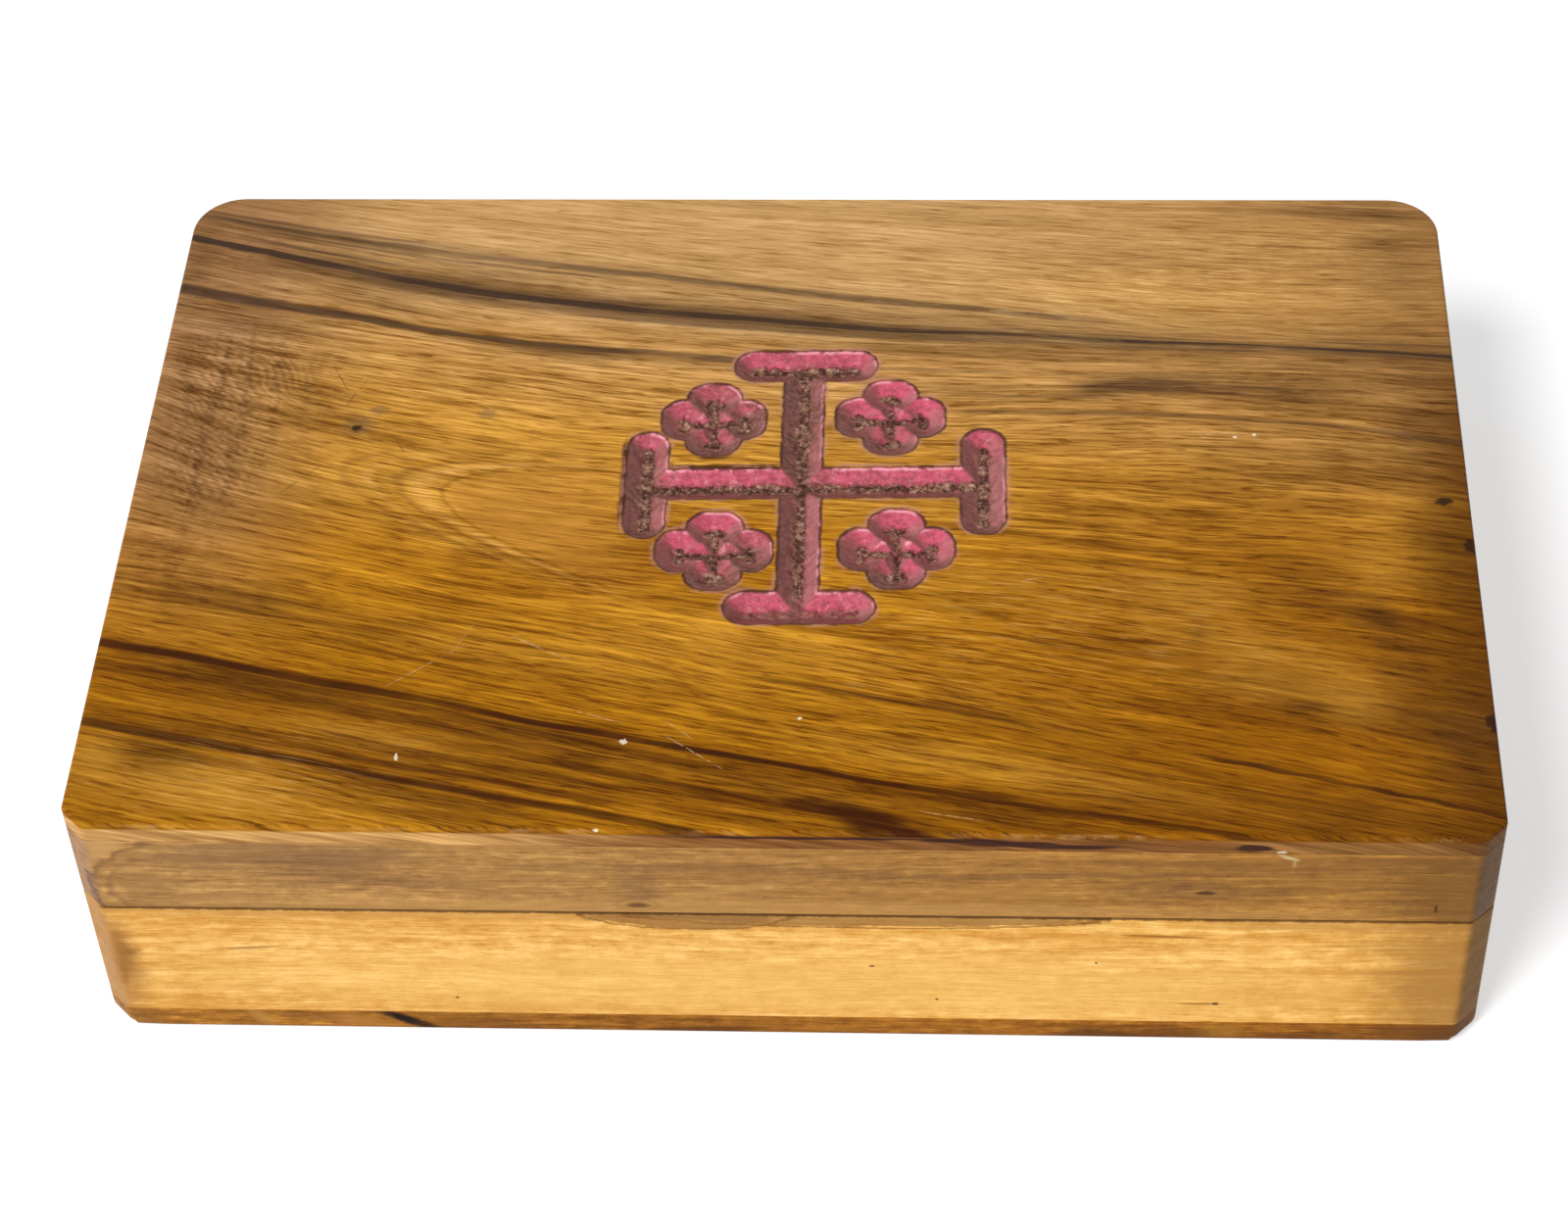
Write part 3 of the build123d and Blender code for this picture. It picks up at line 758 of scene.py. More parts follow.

# A dark line runs along the carving's outline, its strength varying with noise. Painted shade
# darkens the rim just outside the carving, left of its left end and above its left arm, and stain
# has crept a little way over the edges as a pinkish halo.
inside_by = field(tree, "inside")
dark_outline = between(inside_by, -0.26, 0.02) * between(wear, 0.38, 0.58, 0.55, 0.96)
shaded_rim = near(spot, [(-22.6, 1.0, 38.2, 2.4, 10.5), (-9.0, 4.2, 38.2, 8.0, 1.8)])
shaded_rim = between(shaded_rim, 0.0, 0.3) * between(inside_by, -0.8, -0.3, 0.0, 0.92)
halo = between(inside_by, -0.75, -0.16) * between(inside_by, 0.05, -0.12)
colour = coated(
    colour, (vein, vein_colour), (glint * 0.6, tone(246, 204, 128)),
    (ring_round, tone(120, 88, 58)), (knot, tone(48, 26, 12)), (cracked * 0.55, tone(92, 58, 34)),
    (on_edge * 0.88, edge_tone), (along_foot, tone(104, 66, 34)),
    (on_edge * streaked, tone(54, 28, 24)), (on_arris * rubbed, tone(206, 160, 104)),
    (chip, tone(236, 222, 200)),
    (scratch * between(crumbs, 0.42, 0.56) * 0.42, tone(232, 206, 168)),
    (dark_outline, tone(84, 48, 36)), (shaded_rim, tone(70, 38, 20)),
    (halo * between(wear, 0.58, 0.42, 0.0, 0.58), tone(190, 134, 112)))
finished(colour, fibres * 0.22 + 0.32, streaks * 0.35 + fibres, 0.05, 0.05)

# The stain in the carving: bright pink on the walls that face the front and paler on the
# right-hand walls, which face the lamp, and duller on the others; this is painted light, mixed
# with random wear. Worn to rough brown wood along the bottoms, with pale flecks there and a pink
# line along the upper edges as painted highlights, a dark line just inside the outline, and
# thickly lacquered.
stained_carving, tree = emptied(bpy.data.materials.new("stained_carving"))
inside_by, right_wall = field(tree, "inside"), field(tree, "right_wall")
spot = place_on(tree)
speck = figure(spot, (1.2, 1.6, 1.2), 4.0, 0.68)
fleck = figure(spot, (1.5, 1.9, 1.5), 4.0, 0.66)
wear = figure(spot, (0.3, 0.38, 0.3), 4.0, 0.65)
blots = figure(spot, (0.55, 0.65, 0.55), 3.0, 0.6)
hatch = figure(spot, (0.4, 3.4, 0.5), 3.0, 0.6)
lit_and_clean = between(wear * 1.4 + (right_wall * 0.4 + field(tree, "back_wall")), 0.48, 1.22)
lit_right_walls = between(right_wall, 0.25, 0.6, 0.0, 0.62) * between(blots, 0.36, 0.6, 0.5, 1.0)
worn = (field(tree, "worn") + 0.16) * between(wear, 0.32, 0.58, 0.35, 1.35)
worn = worn * between(hatch, 0.3, 0.62, 0.88, 1.08) * between(lit_and_clean, 0.0, 1.0, 1.2, 0.75)
worn_tone = coated(tone(142, 92, 80), (between(speck, 0.4, 0.6), tone(98, 62, 48)))
rough = speck * 1.5 + blots * 1.6 + field(tree, "middle")
still_stained = between(near(spot, [(1.2, -19.9, 37.2, 9.0, 3.6)]), 0.0, 0.45, 1.0, 0.35)
trough = between(rough, 2.48, 1.9) * still_stained
bare_wood = coated(tone(158, 116, 94), (between(blots, 0.36, 0.6), tone(84, 50, 36)))
dark_inner_outline = between(inside_by, 0.46, 0.12) * between(wear, 0.38, 0.58, 0.45, 0.95)
# Painted highlight: a pale pink line just inside the outline, along the lit walls' upper edges.
edge_highlight = between(inside_by, 0.62, 0.36) * between(inside_by, 0.1, 0.26)
edge_highlight = edge_highlight * lit_and_clean * between(wear, 0.56, 0.42, 0.0, 0.85)
colour = coated(
    tone(142, 80, 74), (lit_and_clean, tone(210, 86, 112)),
    (between(speck, 0.42, 0.62, 0.0, 0.5), tone(134, 62, 70)), (lit_right_walls, tone(184, 124, 120)),
    (between(hatch, 0.52, 0.66, 0.0, 0.08), tone(120, 62, 60)), (capped(worn, 0.92), worn_tone),
    (trough * 0.88, bare_wood), (trough * between(fleck, 0.5, 0.6, 0.0, 0.86), tone(40, 20, 14)),
    # Pale flecks in the rough bottoms are painted highlights.
    (trough * between(fleck, 0.45, 0.35, 0.0, 0.58), tone(214, 176, 156)),
    (dark_inner_outline, tone(78, 42, 34)), (edge_highlight, tone(240, 160, 172)))
finished(colour, trough * 0.3 + 0.26, blots * 2.6 + speck * 1.6 + trough * fleck * 9.0, 0.05, 0.16)


def planed_wood(name, middle_tone, light_tone, dark_tone, shift):
    """Plain planed wood with the grain along X."""
    made, tree = emptied(bpy.data.materials.new(name))
    spot = moved(place_on(tree), shift)
    bend = figure(spot, (0.018, 0.05, 0.05), 2.0, 0.5)
    bent = moved(spot, joined(0.0, bend * 7.0, bend * 5.0))
    rings = figure(bent, (0.01, 0.24, 0.3), 3.0, 0.55)
    streaks = figure(bent, (0.05, 1.1, 1.1), 3.0, 0.6)
    fibres = figure(bent, (0.28, 4.4, 4.4), 2.0, 0.6)
    colour = coated(
        middle_tone, (between(rings, 0.48, 0.7, 0.0, 0.75), dark_tone),
        (between(rings, 0.5, 0.32, 0.0, 0.6), light_tone),
        (between(streaks, 0.55, 0.75, 0.0, 0.5), dark_tone),
        (between(fibres, 0.55, 0.75, 0.0, 0.35), dark_tone),
        (between(fibres, 0.45, 0.28, 0.0, 0.3), light_tone))
    finished(colour, 0.6, fibres, 0.04, 0.1)
    return made


# The panel's inner face is bare planed wood.
lid_panel_inner = planed_wood("lid_panel_inner_wood", tone(204, 160, 104), tone(222, 182, 128),
                              tone(158, 112, 64), (31, 9, 4))
in_carving = (inside[:-1, :-1] + inside[1:, 1:] > 0.2).ravel()
finish = np.concatenate([np.where(in_carving, 2, 0), np.zeros(len(edge_faces), int), [1]])
piece("lid_panel", panel_points, panel_faces, [lid_panel_wood, lid_panel_inner, stained_carving],
      "lid", ["lid_top_panel"], finish, panel_fields)

# ---- Lid frame
# Four olive-wood boards under the panel, mitred and glued at the corners, which were
# rounded after gluing. The wood is browner than the base's and has a dark-ringed figure.

wall, lid_foot, lid_top = 7.5, 23.4, 35.4
rim_soft, joint_soft, lip, notch_depth, hair = 0.28, 0.08, 1.4, 1.25, 0.02
hinge_middle, hinge_half, hinge_play = 46.0, 10.0, 0.1


def board_plan(side, marks=()):
    """The outer face of one board seen from above, from mitre to mitre: points, the
    directions they face, how far each is along the board, and the side's own direction."""
    outline, faced, mitres = box_outline(marks)
    number = ("front", "right", "back", "left").index(side)
    end = (mitres + [len(outline)])[number + 1] + 1
    order = np.arange(mitres[number], end) % len(outline)
    square_to = np.array([(0, -1), (1, 0), (0, 1), (-1, 0)][number], float)
    points = outline[order]
    return points, faced[order], points @ (-square_to[1], square_to[0]), square_to


def inner_line(run, square_to, offset):
    """The inner face's line, offset into the wood. It is straight, as far along as the outer
    face at its middle, and drawn together towards its ends, which lie on the mitres."""
    across_half, along_half = (half_y, half_x) if square_to[0] == 0 else (half_x, half_y)
    steady = along_half - wall - 6
    ends = np.where(run < 0, abs(run[0]), abs(run[-1]))
    drawn = (along_half - wall + offset - steady) / (ends - steady)
    along = np.minimum(np.abs(run), steady) + np.clip(np.abs(run) - steady, 0, None) * drawn
    along = (np.sign(run) * along)[:, None] * (-square_to[1], square_to[0])
    return along + (across_half - wall + offset) * square_to


def tube(rings, first=0, inside_out=False):
    """Points and faces of a solid given as rings of points, with its two ends."""
    numbers = np.arange(rings.shape[0] * rings.shape[1]).reshape(rings.shape[:2]) + first
    faces = wrapped(numbers).tolist() + [numbers[0].tolist(), numbers[-1, ::-1].tolist()]
    return rings.reshape(-1, 3), [face[::-1] for face in faces] if inside_out else faces


def frame_board(frame_name, side, foot, top, rim_is_top, material):
    """A board as a closed outline of its section, carried along its plan from mitre to mitre.
    The rim's two edges are sanded round, the glued edge's hardly at all. The back boards'
    rims are let down for the hinge leaves, behind a lip."""
    spans = [(middle - hinge_half - hinge_play, middle + hinge_half + hinge_play)
             for middle in (-hinge_middle, hinge_middle) if side == "back"]
    plan, faced, run, square_to = board_plan(
        side, [mark + slip for mark in sum(spans, ()) for slip in (-hair, hair)])
    in_notch = np.zeros(len(run), bool)
    for first, last in spans:
        in_notch |= (run > -last) & (run < -first)
    let_down = np.where(in_notch, notch_depth, 0.0)
    direction = 1 if rim_is_top else -1
    rim, joint = (top, foot) if rim_is_top else (foot, top)
    bend = [(rim_soft * (1 - math.sin(a)), rim_soft * (1 - math.cos(a)))
            for a in np.radians(np.linspace(0, 90, 5))]
    # Each line of the section: its inset, whether from the inner face, its height, and
    # whether the notches let it down.
    edge = joint + direction * joint_soft
    section = [(joint_soft, False, joint, 0), (0.0, False, edge, 0)]
    section += [(inset, False, rim - direction * fall, 1) for fall, inset in bend]
    section += [(lip + hair, True, rim, 1), (lip - hair, True, rim, 0)]
    section += [(inset, True, rim - direction * fall, 0) for inset, fall in bend]
    section += [(0.0, True, edge, 0), (joint_soft, True, joint, 0)]
    lines = []
    for offset, inner, height, lowers in section:
        line = inner_line(run, square_to, offset) if inner else plan - offset * faced
        height = (height - direction * let_down * lowers)[:, None]
        lines.append(np.concatenate([line, height], 1))
    points, faces = tube(np.stack(lines, 1), inside_out=not rim_is_top)
    piece(f"{frame_name}_frame_{side}", points, faces, [material], frame_name,
          [f"{frame_name}_{side}_board"])


def board_wood(name, along_y, left_tone, right_tone, shade, shift, lively=1.0, sawn_and_shade_tones=None,
               rim=None, stains_and_shade=(), arcs=(), dots=(), face_y=-55):
    """Oiled wood of one board, left_tone at its low end and right_tone at its high one.
    Rings, streaks, fibres and a faint silk are noise stretched along the grain, and their sum
    darkens the wood towards shade, a share of each colour. Stains, and patches of painted shade,
    are ragged ovals (x, z, half length, half width, slope, strength, tone) on the face at face_y
    that reach 6 mm into the board, sharp-edged where True follows. Arcs are the outlines of ovals,
    dots small dark eyes, and the outer edge of the rim is darkened as painted shade in the seam."""
    made, tree = emptied(bpy.data.materials.new(name))
    spot = place_on(tree)
    read = spot
    if along_y:
        read = add(tree, "Mapping", spot, None, (0, 0, math.radians(90))).outputs[0]
    read = moved(read, shift)
    rise = figure(read, (0.016, 0.05, 0.06), 3.0, 0.5) * 6.0
    bent = moved(read, joined(0.0, rise * 0.6, rise))
    rings = figure(bent, (0.01, 0.16, 0.36), 3.0, 0.5)
    streaks = figure(bent, (0.04, 0.9, 1.3), 3.0, 0.6)
    fibres = figure(bent, (0.2, 3.6, 3.6), 3.0, 0.6)
    silk = figure(read, (0.42, 0.5, 0.8), 4.0, 0.65)
    cloud = figure(read, (0.03, 0.05, 0.09), 3.0, 0.5)
    crumbs = figure(read, (0.9, 1.1, 1.1), 3.0, 0.65)
    spot_x, spot_y, spot_z = parted(spot)
    run = spot_y if along_y else spot_x
    figured = lively * summed(
        (cloud, 0.48, 0.68, 0.2, 0.46, 0.3, 0.16), (rings, 0.5, 0.64, 0.28, 0.47, 0.34, 0.22),
        (streaks, 0.51, 0.66, 0.38, 0.47, 0.34, 0.26),
        (fibres, 0.52, 0.66, 0.5, 0.47, 0.34, 0.3), (silk, 0.5, 0.64, 0.36, 0.48, 0.36, 0.3))
    lift = tuple(1 + 1.1 * (1 / share - 1) for share in shade)
    colour = coated(
        left_tone, (between(run, *((-50.0, 50.0) if along_y else (-70.0, 75.0))), right_tone),
        (capped(figured, 1.2), (*shade, 1.0), "MULTIPLY"),
        (capped(figured * -0.8, 0.6), (*lift, 1.0), "MULTIPLY"))
    for x, z, half_long, half_wide, slope, strength, stain_and_shade_tone, *sharp in stains_and_shade:
        east, inward, up = parted(moved(spot, (-x, -face_y, -z)))
        oval = joined(east * (1 / half_long), inward * (1 / 6.0),
                      (up - east * slope) * (1 / half_wide))
        ragged = streaks + crumbs * 0.5 + closeness(oval)
        edge = (0.68, 0.88) if sharp else (0.45, 1.30)
        colour = coated(colour, (between(ragged, *edge, 0.0, strength), tone(*stain_and_shade_tone)))
    if dots:
        eyes = near(spot, [(x, face_y, z, long, wide) for x, z, long, wide in dots])
        eyes = between(crumbs * 1.2 + eyes, 0.8, 1.25, 0.0, 0.85)
        colour = coated(colour, (eyes, tone(84, 48, 20)))
    if sawn_and_shade_tones:
        # The sanded corners cut across the grain, and are duller there. The right corners' tone is
        # also darker as painted shade, and the lid's left corners' tone greyer as a painted sheen.
        sawn_and_shade = coated(sawn_and_shade_tones[0], (between(spot_x, -20.0, 20.0), sawn_and_shade_tones[1]),
                      (between(silk, 0.42, 0.62, 0.0, 0.5), (*shade, 1.0), "MULTIPLY"))
        start = between(spot_y, -10.0, 10.0, *((52.2, 48.9) if along_y else (79.6, 76.4)))
        reach = silk * 0.5 + abs(run) - start
        colour = coated(colour, (between(reach, -0.5, 0.9, 0.0, 0.85), sawn_and_shade))
    for x, z, half_long, half_wide, thick, strength, arc_tone in arcs:
        by_outline = silk * 0.3 + near(spot, [(x, face_y, z, half_long, half_wide)])
        arc = between(abs(by_outline - 0.15), thick, 0.2 * thick, 0.0, strength)
        arc = arc * between(cloud, 0.34, 0.52, 0.5, 1.0)
        if x < -60:
            arc = arc * between(spot_x, -68.0, -74.0)
        colour = coated(colour, (arc, tone(*arc_tone)))
    # Painted shade: the rim's outer edge is darkened, as shade in the seam between lid and base.
    if rim:
        outermost = (abs(spot_x) - half_x).larger(abs(spot_y) - half_y)
        seam_shade = between(abs(spot_z - rim) - crumbs * 0.3, 0.06, -0.08, 0.0, 0.8)
        colour = coated(colour, (between(outermost, -0.5, -0.25) * seam_shade, tone(66, 40, 18)))
    finished(colour, fibres * 0.15 + 0.36, streaks * 0.5 + fibres, 0.05, 0.05)
    return made


def frame_of_boards(frame_name, foot, top, rim_is_top, shade, sawn_and_shade_tones, *boards):
    """The four boards of a frame. Each is its side, the tones of its low and high end, the
    shift of its figure and how lively it is, and for the front one the marks on it."""
    for side, low_tone, high_tone, shift, lively, marks in boards:
        material = board_wood(
            f"{frame_name}_{side}_wood", side in ("left", "right"), tone(*low_tone),
            tone(*high_tone), shade, shift, lively, [tone(*sawn_and_shade) for sawn_and_shade in sawn_and_shade_tones],
            top if rim_is_top else foot, **marks)
        frame_board(frame_name, side, foot, top, rim_is_top, material)


smoky_brown, dull_line = (134, 98, 66), (112, 76, 50)
lid_front_marks = {
    "stains_and_shade": [
        (-79, 34.9, 3.6, 3.2, 0.25, 0.85, (208, 160, 100)),
        (-73.5, 27.6, 5, 3, 0, 0.45, (156, 110, 66)),
        (-62, 33.4, 13, 2.6, 0.06, 0.55, smoky_brown), (-50, 33, 9, 1.8, 0.1, 0.55, smoky_brown),
        (-52, 30.9, 7, 1, 0.04, 0.4, smoky_brown), (-44, 28.4, 12, 1, -0.04, 0.4, dull_line),
        (-16.3, 28.4, 3, 3.6, 0, 0.42, smoky_brown),
        (-5.5, 28, 10, 0.9, 0.24, 0.45, (204, 154, 88)),
        (-10, 31.6, 26, 1, -0.01, 0.36, dull_line), (30, 31, 26, 0.7, 0.03, 0.45, dull_line),
        (48, 28.6, 12, 1.6, 0, 0.4, dull_line), (-5, 24.4, 72, 1.7, 0, 0.55, (206, 155, 88)),
        (24, 27.4, 12, 1.6, 0, 0.4, (196, 142, 70)), (60, 33.4, 22, 1.6, 0, 0.5, (134, 90, 48)),
        (62, 30, 10, 1.8, 0, 0.4, (140, 94, 44)), (-6, 30.4, 12, 1.2, 0, 0.45, (146, 100, 54)),
        # The broad dark oval at the right end is painted shade, where the face turns from the
        # lamp.
        (79, 29, 11, 9, 0, 0.72, (122, 82, 38)),
        (58, 34.8, 1.2, 0.36, -0.35, 0.78, (226, 198, 148)),
        (58.7, 33.8, 0.26, 0.7, 0, 0.6, (206, 168, 112)),
        (-16.5, 24.9, 1.5, 0.52, 0, 0.85, (104, 68, 38)),
        (48.9, 28.35, 1.3, 0.46, 0, 0.92, (84, 52, 28))],
    "arcs": [
        (-65.5, 26.3, 14.9, 10.1, 0.06, 0.76, (108, 74, 54)),
        (-71, 27.4, 7.2, 5.2, 0.1, 0.45, (130, 88, 58)), (-16.5, 25, 2.4, 1, 0.3, 0.22, dull_line),
        (48.7, 28.4, 3.6, 1.4, 0.24, 0.2, dull_line),
        (48.7, 28.4, 8.5, 2.4, 0.14, 0.14, dull_line)],
    "dots": [(75.3, 25.9, 0.26, 1.15)],
}
# The lid's corner tones: its right one is painted shade, its left one holds a painted sheen.
frame_of_boards(
    "lid", lid_foot, lid_top, False, (0.52, 0.47, 0.47), [(176, 134, 96), (118, 88, 56)],
    ("front", (190, 141, 82), (180, 126, 58), (12, 3, 40), 0.92, lid_front_marks),
    ("back", (186, 140, 82), (176, 128, 68), (70, 21, 9), 1.0, {}),
    ("left", (176, 132, 82), (184, 138, 86), (5, 60, 31), 1.0, {}),
    ("right", (150, 104, 52), (170, 122, 66), (44, 12, 83), 1.0, {}))

# ---- Base frame
# Four boards like the lid's, of pale honey-coloured olive sapwood with fine level grain,
# glued on the bottom panel.

base_foot, base_top, dirt = 3.8, 23.2, (158, 104, 44)
base_front_marks = {
    "stains_and_shade": [
        (0, 10, 76, 6, 0, 0.5, (255, 206, 116)), (-79.6, 12, 3.4, 11, 0, 0.8, (190, 136, 70)),
        (-79, 14.6, 1.6, 4.6, -0.2, 0.62, (150, 100, 50)),
        (-77.6, 15, 1.4, 0.5, 0.2, 0.55, (150, 100, 50)),
        (-79.4, 10.2, 0.7, 2.6, 0, 0.5, (150, 100, 48)),
        (-50, 23.2, 40, 1.8, 0, 0.6, (204, 148, 78)),
        (-11, 23.4, 12, 2.75, 0, 0.8, (158, 112, 62), True),
        (10, 23.4, 27, 2.2, 0, 0.8, (158, 112, 60), True),
        (66, 23, 20, 2.2, 0, 0.6, (190, 134, 64)), (-63.2, 16, 4.2, 0.28, 0.09, 0.7, dirt),
        (44.2, 20.2, 4.6, 0.24, -0.03, 0.85, dirt), (49.1, 7.4, 2.3, 0.16, 0, 0.85, dirt),
        # The broad brown oval at x 81 is painted shade darkening the right end.
        (81, 12, 12, 16, 0, 0.85, (176, 125, 60)), (70, 18.6, 6, 1.6, 0, 0.45, (190, 138, 66))],
    "arcs": [
        (-11, 23.4, 12.2, 2.85, 0.055, 0.75, (126, 80, 36)),
        (10, 23.4, 27.4, 2.3, 0.07, 0.75, (126, 80, 36))],
    "dots": [
        (10.5, 13.9, 0.55, 0.28), (18.1, 7.6, 0.35, 0.3), (36.8, 15, 0.3, 0.3),
        (51.1, 7.4, 0.6, 0.42), (-39.4, 6.8, 0.35, 0.3)],
}
# The base's corner tones: its right one is painted shade.
frame_of_boards(
    "base", base_foot, base_top, True, (0.76, 0.63, 0.42), [(190, 142, 88), (134, 98, 54)],
    ("front", (246, 188, 100), (246, 188, 98), (33, 8, 17), 1.3, base_front_marks),
    ("back", (238, 182, 98), (240, 182, 96), (90, 41, 63), 1.0, {}),
    ("left", (222, 168, 96), (234, 178, 100), (61, 17, 25), 1.0, {}),
    ("right", (196, 144, 76), (222, 166, 88), (18, 77, 50), 1.0, {}))

# ---- Bottom panel
# A reddish brown olive-wood board glued under the base frame. Its lower edge is sanded
# round, twice as much at the corners.

bottom_top, bottom_arris = 3.8, 1.0
outline, faced, mitres = box_outline()
bend = np.radians(np.linspace(0, 90, 9))[:, None]
arris = bottom_arris * np.where(np.abs(faced).max(axis=1) < 0.999, 2.0, 1.0)
arris = (np.roll(arris, 1) + 2 * arris + np.roll(arris, -1)) / 4
level_ring = np.ones((1, len(arris)))
insets = np.concatenate([level_ring * joint_soft, level_ring * 0, (1 - np.cos(bend)) * arris])
heights = np.concatenate([level_ring * bottom_top, level_ring * (bottom_top - joint_soft),
                          (1 - np.sin(bend)) * arris])
rings = np.concatenate([outline[None] - insets[:, :, None] * faced[None], heights[:, :, None]], -1)
bottom_points, bottom_faces = tube(rings)
bottom_panel_wood = board_wood(
    "bottom_panel_wood", False, tone(180, 120, 44), tone(158, 98, 28), (0.50, 0.44, 0.36),
    (51, 23, 71), 1.15, face_y=-54.5, stains_and_shade=[
        (-45.2, 1.9, 4.6, 0.95, -0.5, 1, (30, 16, 10)),
        (-52, 2, 4, 1.2, -0.15, 0.7, (188, 128, 62)), (-58, 2.6, 4, 0.7, -0.1, 0.5, (128, 82, 44)),
        (-10, 1, 8, 0.8, 0.05, 0.7, (96, 54, 16)), (37, 1.2, 5, 1.2, 0, 0.8, (90, 52, 22)),
        (51.5, 2.2, 3.4, 1.5, 0, 0.6, (168, 118, 46)), (62, 1.2, 8, 0.8, 0, 0.6, (94, 54, 20)),
        (-37, 1.4, 8, 1.6, 0, 0.55, (112, 64, 24)), (45, 1.2, 6, 1.8, 0, 0.65, (92, 50, 16)),
        (79, 1.6, 4, 3, 0, 0.6, (90, 54, 24)), (-79, 1.6, 4, 2.6, 0, 0.45, (124, 80, 38)),
        (-63.6, 2.2, 1.6, 1.4, -0.8, 0.55, (200, 146, 76)),
        (76, 2.2, 8, 2, 0, 0.7, (112, 68, 28))])
inside_floor = planed_wood("tray_floor_wood", tone(186, 136, 80), tone(206, 160, 104),
                           tone(134, 90, 50), (7, 45, 2))
piece("bottom_panel", bottom_points, bottom_faces, [bottom_panel_wood, inside_floor], "base",
      ["base_bottom_panel"], [0] * (len(bottom_faces) - 2) + [1, 0])

# ---- Hinges
# Two small brass butt hinges, let into the rims of the back boards. Each leaf is one strip,
# stamped and rolled round the pin, and two flat-headed brass nails hold it.

pin_y, pin_z, pin_radius, pin_play, barrel = 56.0, 23.3, 0.6, 0.05, 1.348
leaf_edge, nail_y, nail_reach, nail_head = 49.0, 51.825, 6.0, 0.35
knuckle_gap = 0.15
circle = np.radians(np.linspace(0, 360, 33))[:-1]


def brass(name, base, dull, roughness):
    """Aged brass: worn bright on high places, dull and spotted elsewhere."""
    made, tree = emptied(bpy.data.materials.new(name))
    spot = place_on(tree)
    tarnish = figure(spot, (0.5, 0.7, 0.7), 4.0, 0.65)
    brushed = figure(spot, (0.6, 9.0, 9.0), 2.0, 0.6)
    pits = figure(spot, (3.0, 3.0, 3.0), 2.0, 0.5)
    colour = coated(base, (between(tarnish, 0.42, 0.68, 0.0, 0.85), dull),
                    (between(pits, 0.62, 0.72, 0.0, 0.6), tone(70, 48, 22)))
    finished(colour, between(tarnish, 0.35, 0.7, roughness, roughness + 0.22),
             pits * 0.6 + brushed, 0.02, 0.5, 0.6, 1.0)
    return made


leaf_brass = brass("hinge_leaf_brass", tone(214, 176, 98), tone(150, 112, 58), 0.28)
pin_brass = brass("hinge_pin_brass", tone(190, 172, 130), tone(136, 112, 74), 0.30)
nail_brass = brass("hinge_nail_brass", tone(220, 184, 108), tone(146, 108, 56), 0.32)


def stretched(profile, x_low, x_high, first, edge=0.12):
    """A solid strip along X with that section in Y and Z, its two ends drawn in by a small
    rounded edge: the section shrinks towards its middle by the edge there."""
    section = np.asarray(profile, float)
    ahead, behind = np.roll(section, -1, 0) - section, section - np.roll(section, 1, 0)
    normals = np.stack([ahead[:, 1] + behind[:, 1], -(ahead[:, 0] + behind[:, 0])], -1)
    normals /= np.maximum(np.linalg.norm(normals, axis=1, keepdims=True), 1e-9)
    steps = [(0.0, edge), (0.3 * edge, 0.3 * edge), (edge, 0.0)]
    steps = [(x_low + on, inset) for on, inset in steps] + [
        (x_high - on, inset) for on, inset in steps[::-1]]
    points, faces = tube(np.stack([
        np.concatenate([np.full((len(section), 1), x), section - inset * normals], 1)
        for x, inset in steps]), first)
    return points, [face[:1] + face[:0:-1] for face in faces]


def soft_box(y_low, y_high, z_low, z_high, soft):
    """A rectangle's outline in Y and Z with its corners rounded, anticlockwise seen from +X."""
    turns = np.radians(np.concatenate([np.linspace(0, 90, 4) + 90 * n for n in range(4)]))
    middles = np.repeat([(y_high - soft, z_high - soft), (y_low + soft, z_high - soft),
                         (y_low + soft, z_low + soft), (y_high - soft, z_low + soft)], 4, 0)
    return middles + soft * np.stack([np.cos(turns), np.sin(turns)], -1)


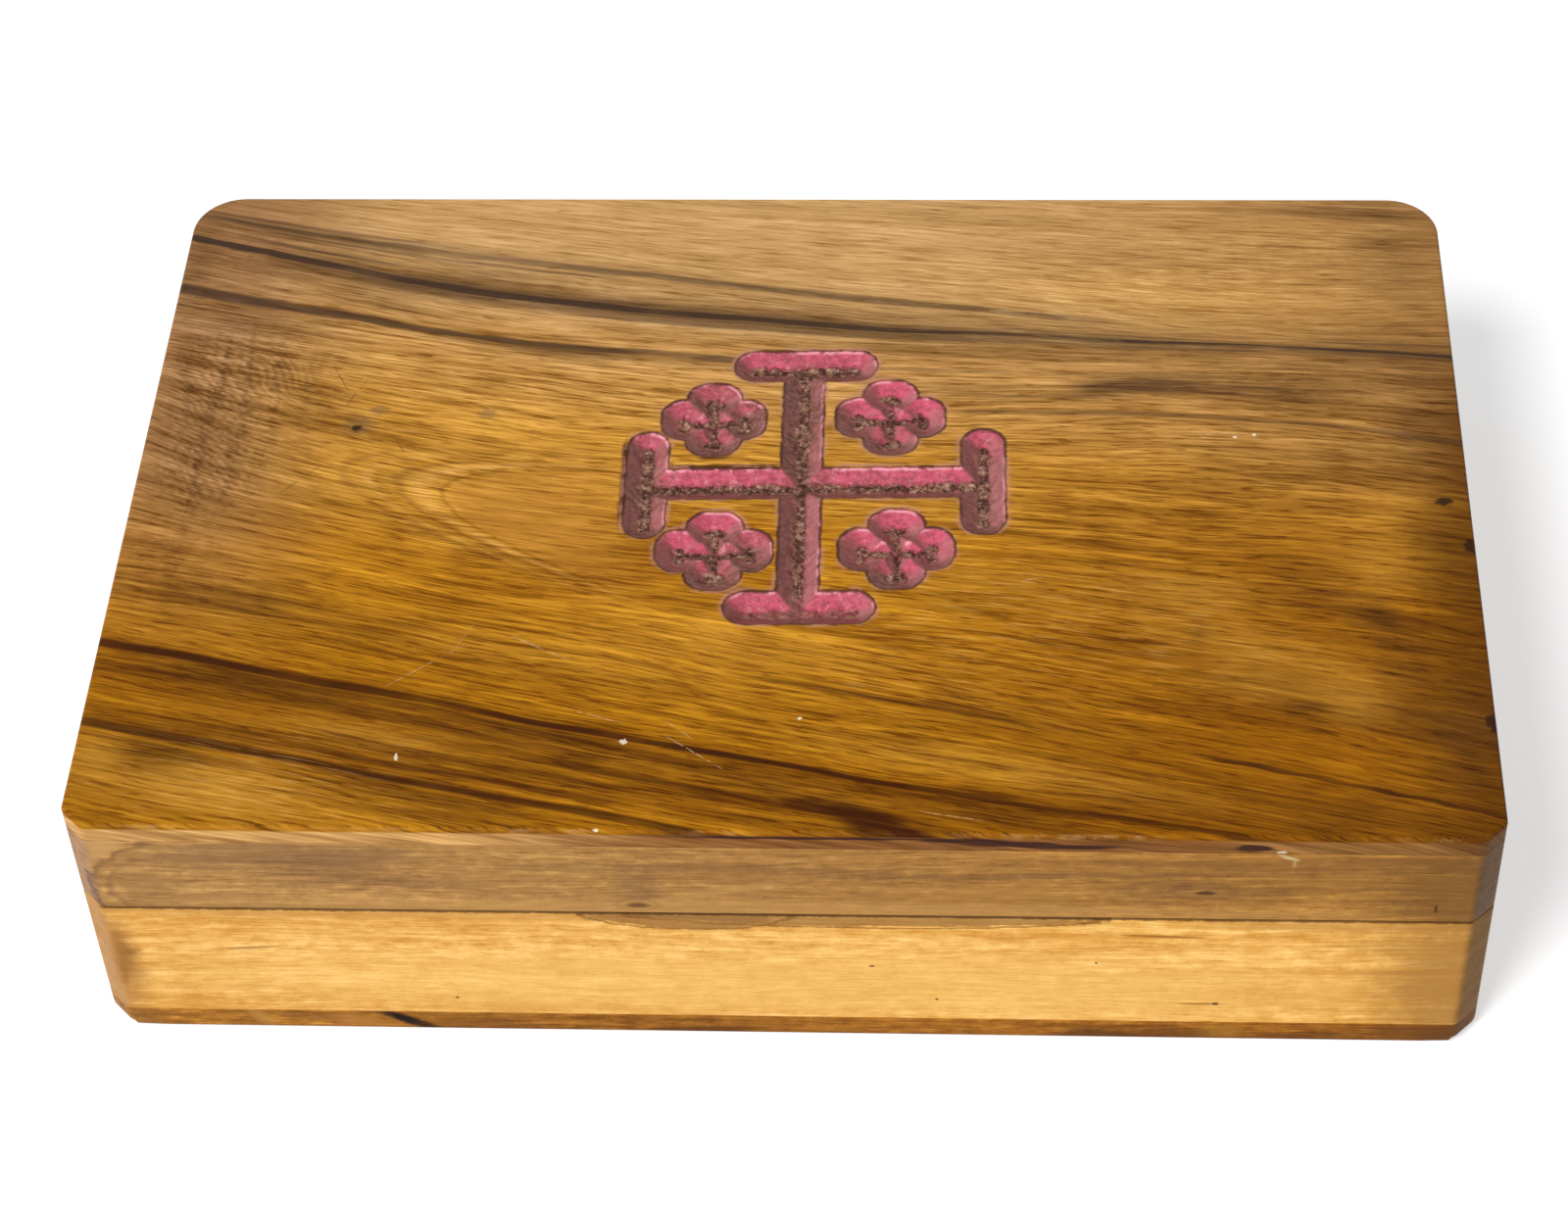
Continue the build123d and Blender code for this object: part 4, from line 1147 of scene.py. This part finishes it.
# Rings of a nail (radius, depth below its head's top) and of a pin (place along it, radius).
nail_rings = [(0.45, 0.0), (0.85, 0.03), (1.0, 0.09), (1.08, 0.19), (1.1, 0.35), (0.5, 0.351),
              (0.5, 6.6)]
pin_rings = [(-9.98, 0.2), (-9.94, 0.42), (-9.85, 0.54), (-9.7, 0.59), (9.7, 0.59), (9.85, 0.54),
             (9.94, 0.42), (9.98, 0.2)]
knuckle = (2 * hinge_half - 2 * knuckle_gap) / 3
for name, middle in (("left", -hinge_middle), ("right", hinge_middle)):
    for part, down in (("base", -1), ("lid", 1)):
        near_z, far_z = pin_z + down * (pin_radius + pin_play), pin_z + down * barrel
        section = soft_box(leaf_edge, pin_y - barrel - knuckle_gap, min(near_z, far_z),
                           max(near_z, far_z), 0.1)
        points, faces = stretched(section, middle - hinge_half, middle + hinge_half, 0)
        for place in ((0,) if part == "lid" else (-1, 1)):
            # The strip runs on and rolls round the pin, from the far side of the leaf.
            sweep = np.radians(np.linspace(90, -225, 30)) * down
            way = np.stack([np.cos(sweep), np.sin(sweep)], -1)
            start_y = pin_y - barrel - 1.0
            roll = np.concatenate([
                [(start_y, far_z)], (pin_y, pin_z) + barrel * way,
                (pin_y, pin_z) + pin_radius * way[::-1], [(start_y, pin_z + down * pin_radius)]])
            at = middle + place * (knuckle + knuckle_gap)
            more, more_faces = stretched(roll[::-down], at - knuckle / 2, at + knuckle / 2,
                                         len(points), 0.08)
            points, faces = np.concatenate([points, more]), faces + more_faces
        piece(f"{name}_{part}_leaf", points, faces, [leaf_brass], part,
              [f"{name}_hinge_{part}_leaf"])

        radius, depth_in = np.array(nail_rings).T[:, :, None]
        nails = [np.stack(np.broadcast_arrays(
            middle + side + radius * np.cos(circle), nail_y + radius * np.sin(circle),
            near_z + down * (depth_in - nail_head)), -1) for side in (-nail_reach, nail_reach)]
        nails = [tube(nail, place * nail.size // 3, down == 1) for place, nail in enumerate(nails)]
        piece(f"{name}_{part}_nails", np.concatenate([points for points, _ in nails]),
              nails[0][1] + nails[1][1], [nail_brass], part,
              [f"{name}_hinge_{part}_nails"])

    points, faces = tube(np.stack([
        np.stack([np.full_like(circle, middle + x), pin_y + radius * np.cos(circle),
                  pin_z + radius * np.sin(circle)], -1) for x, radius in pin_rings]), 0, True)
    piece(f"{name}_pin", points, faces, [pin_brass], "base",
          [f"{name}_hinge_pin"])
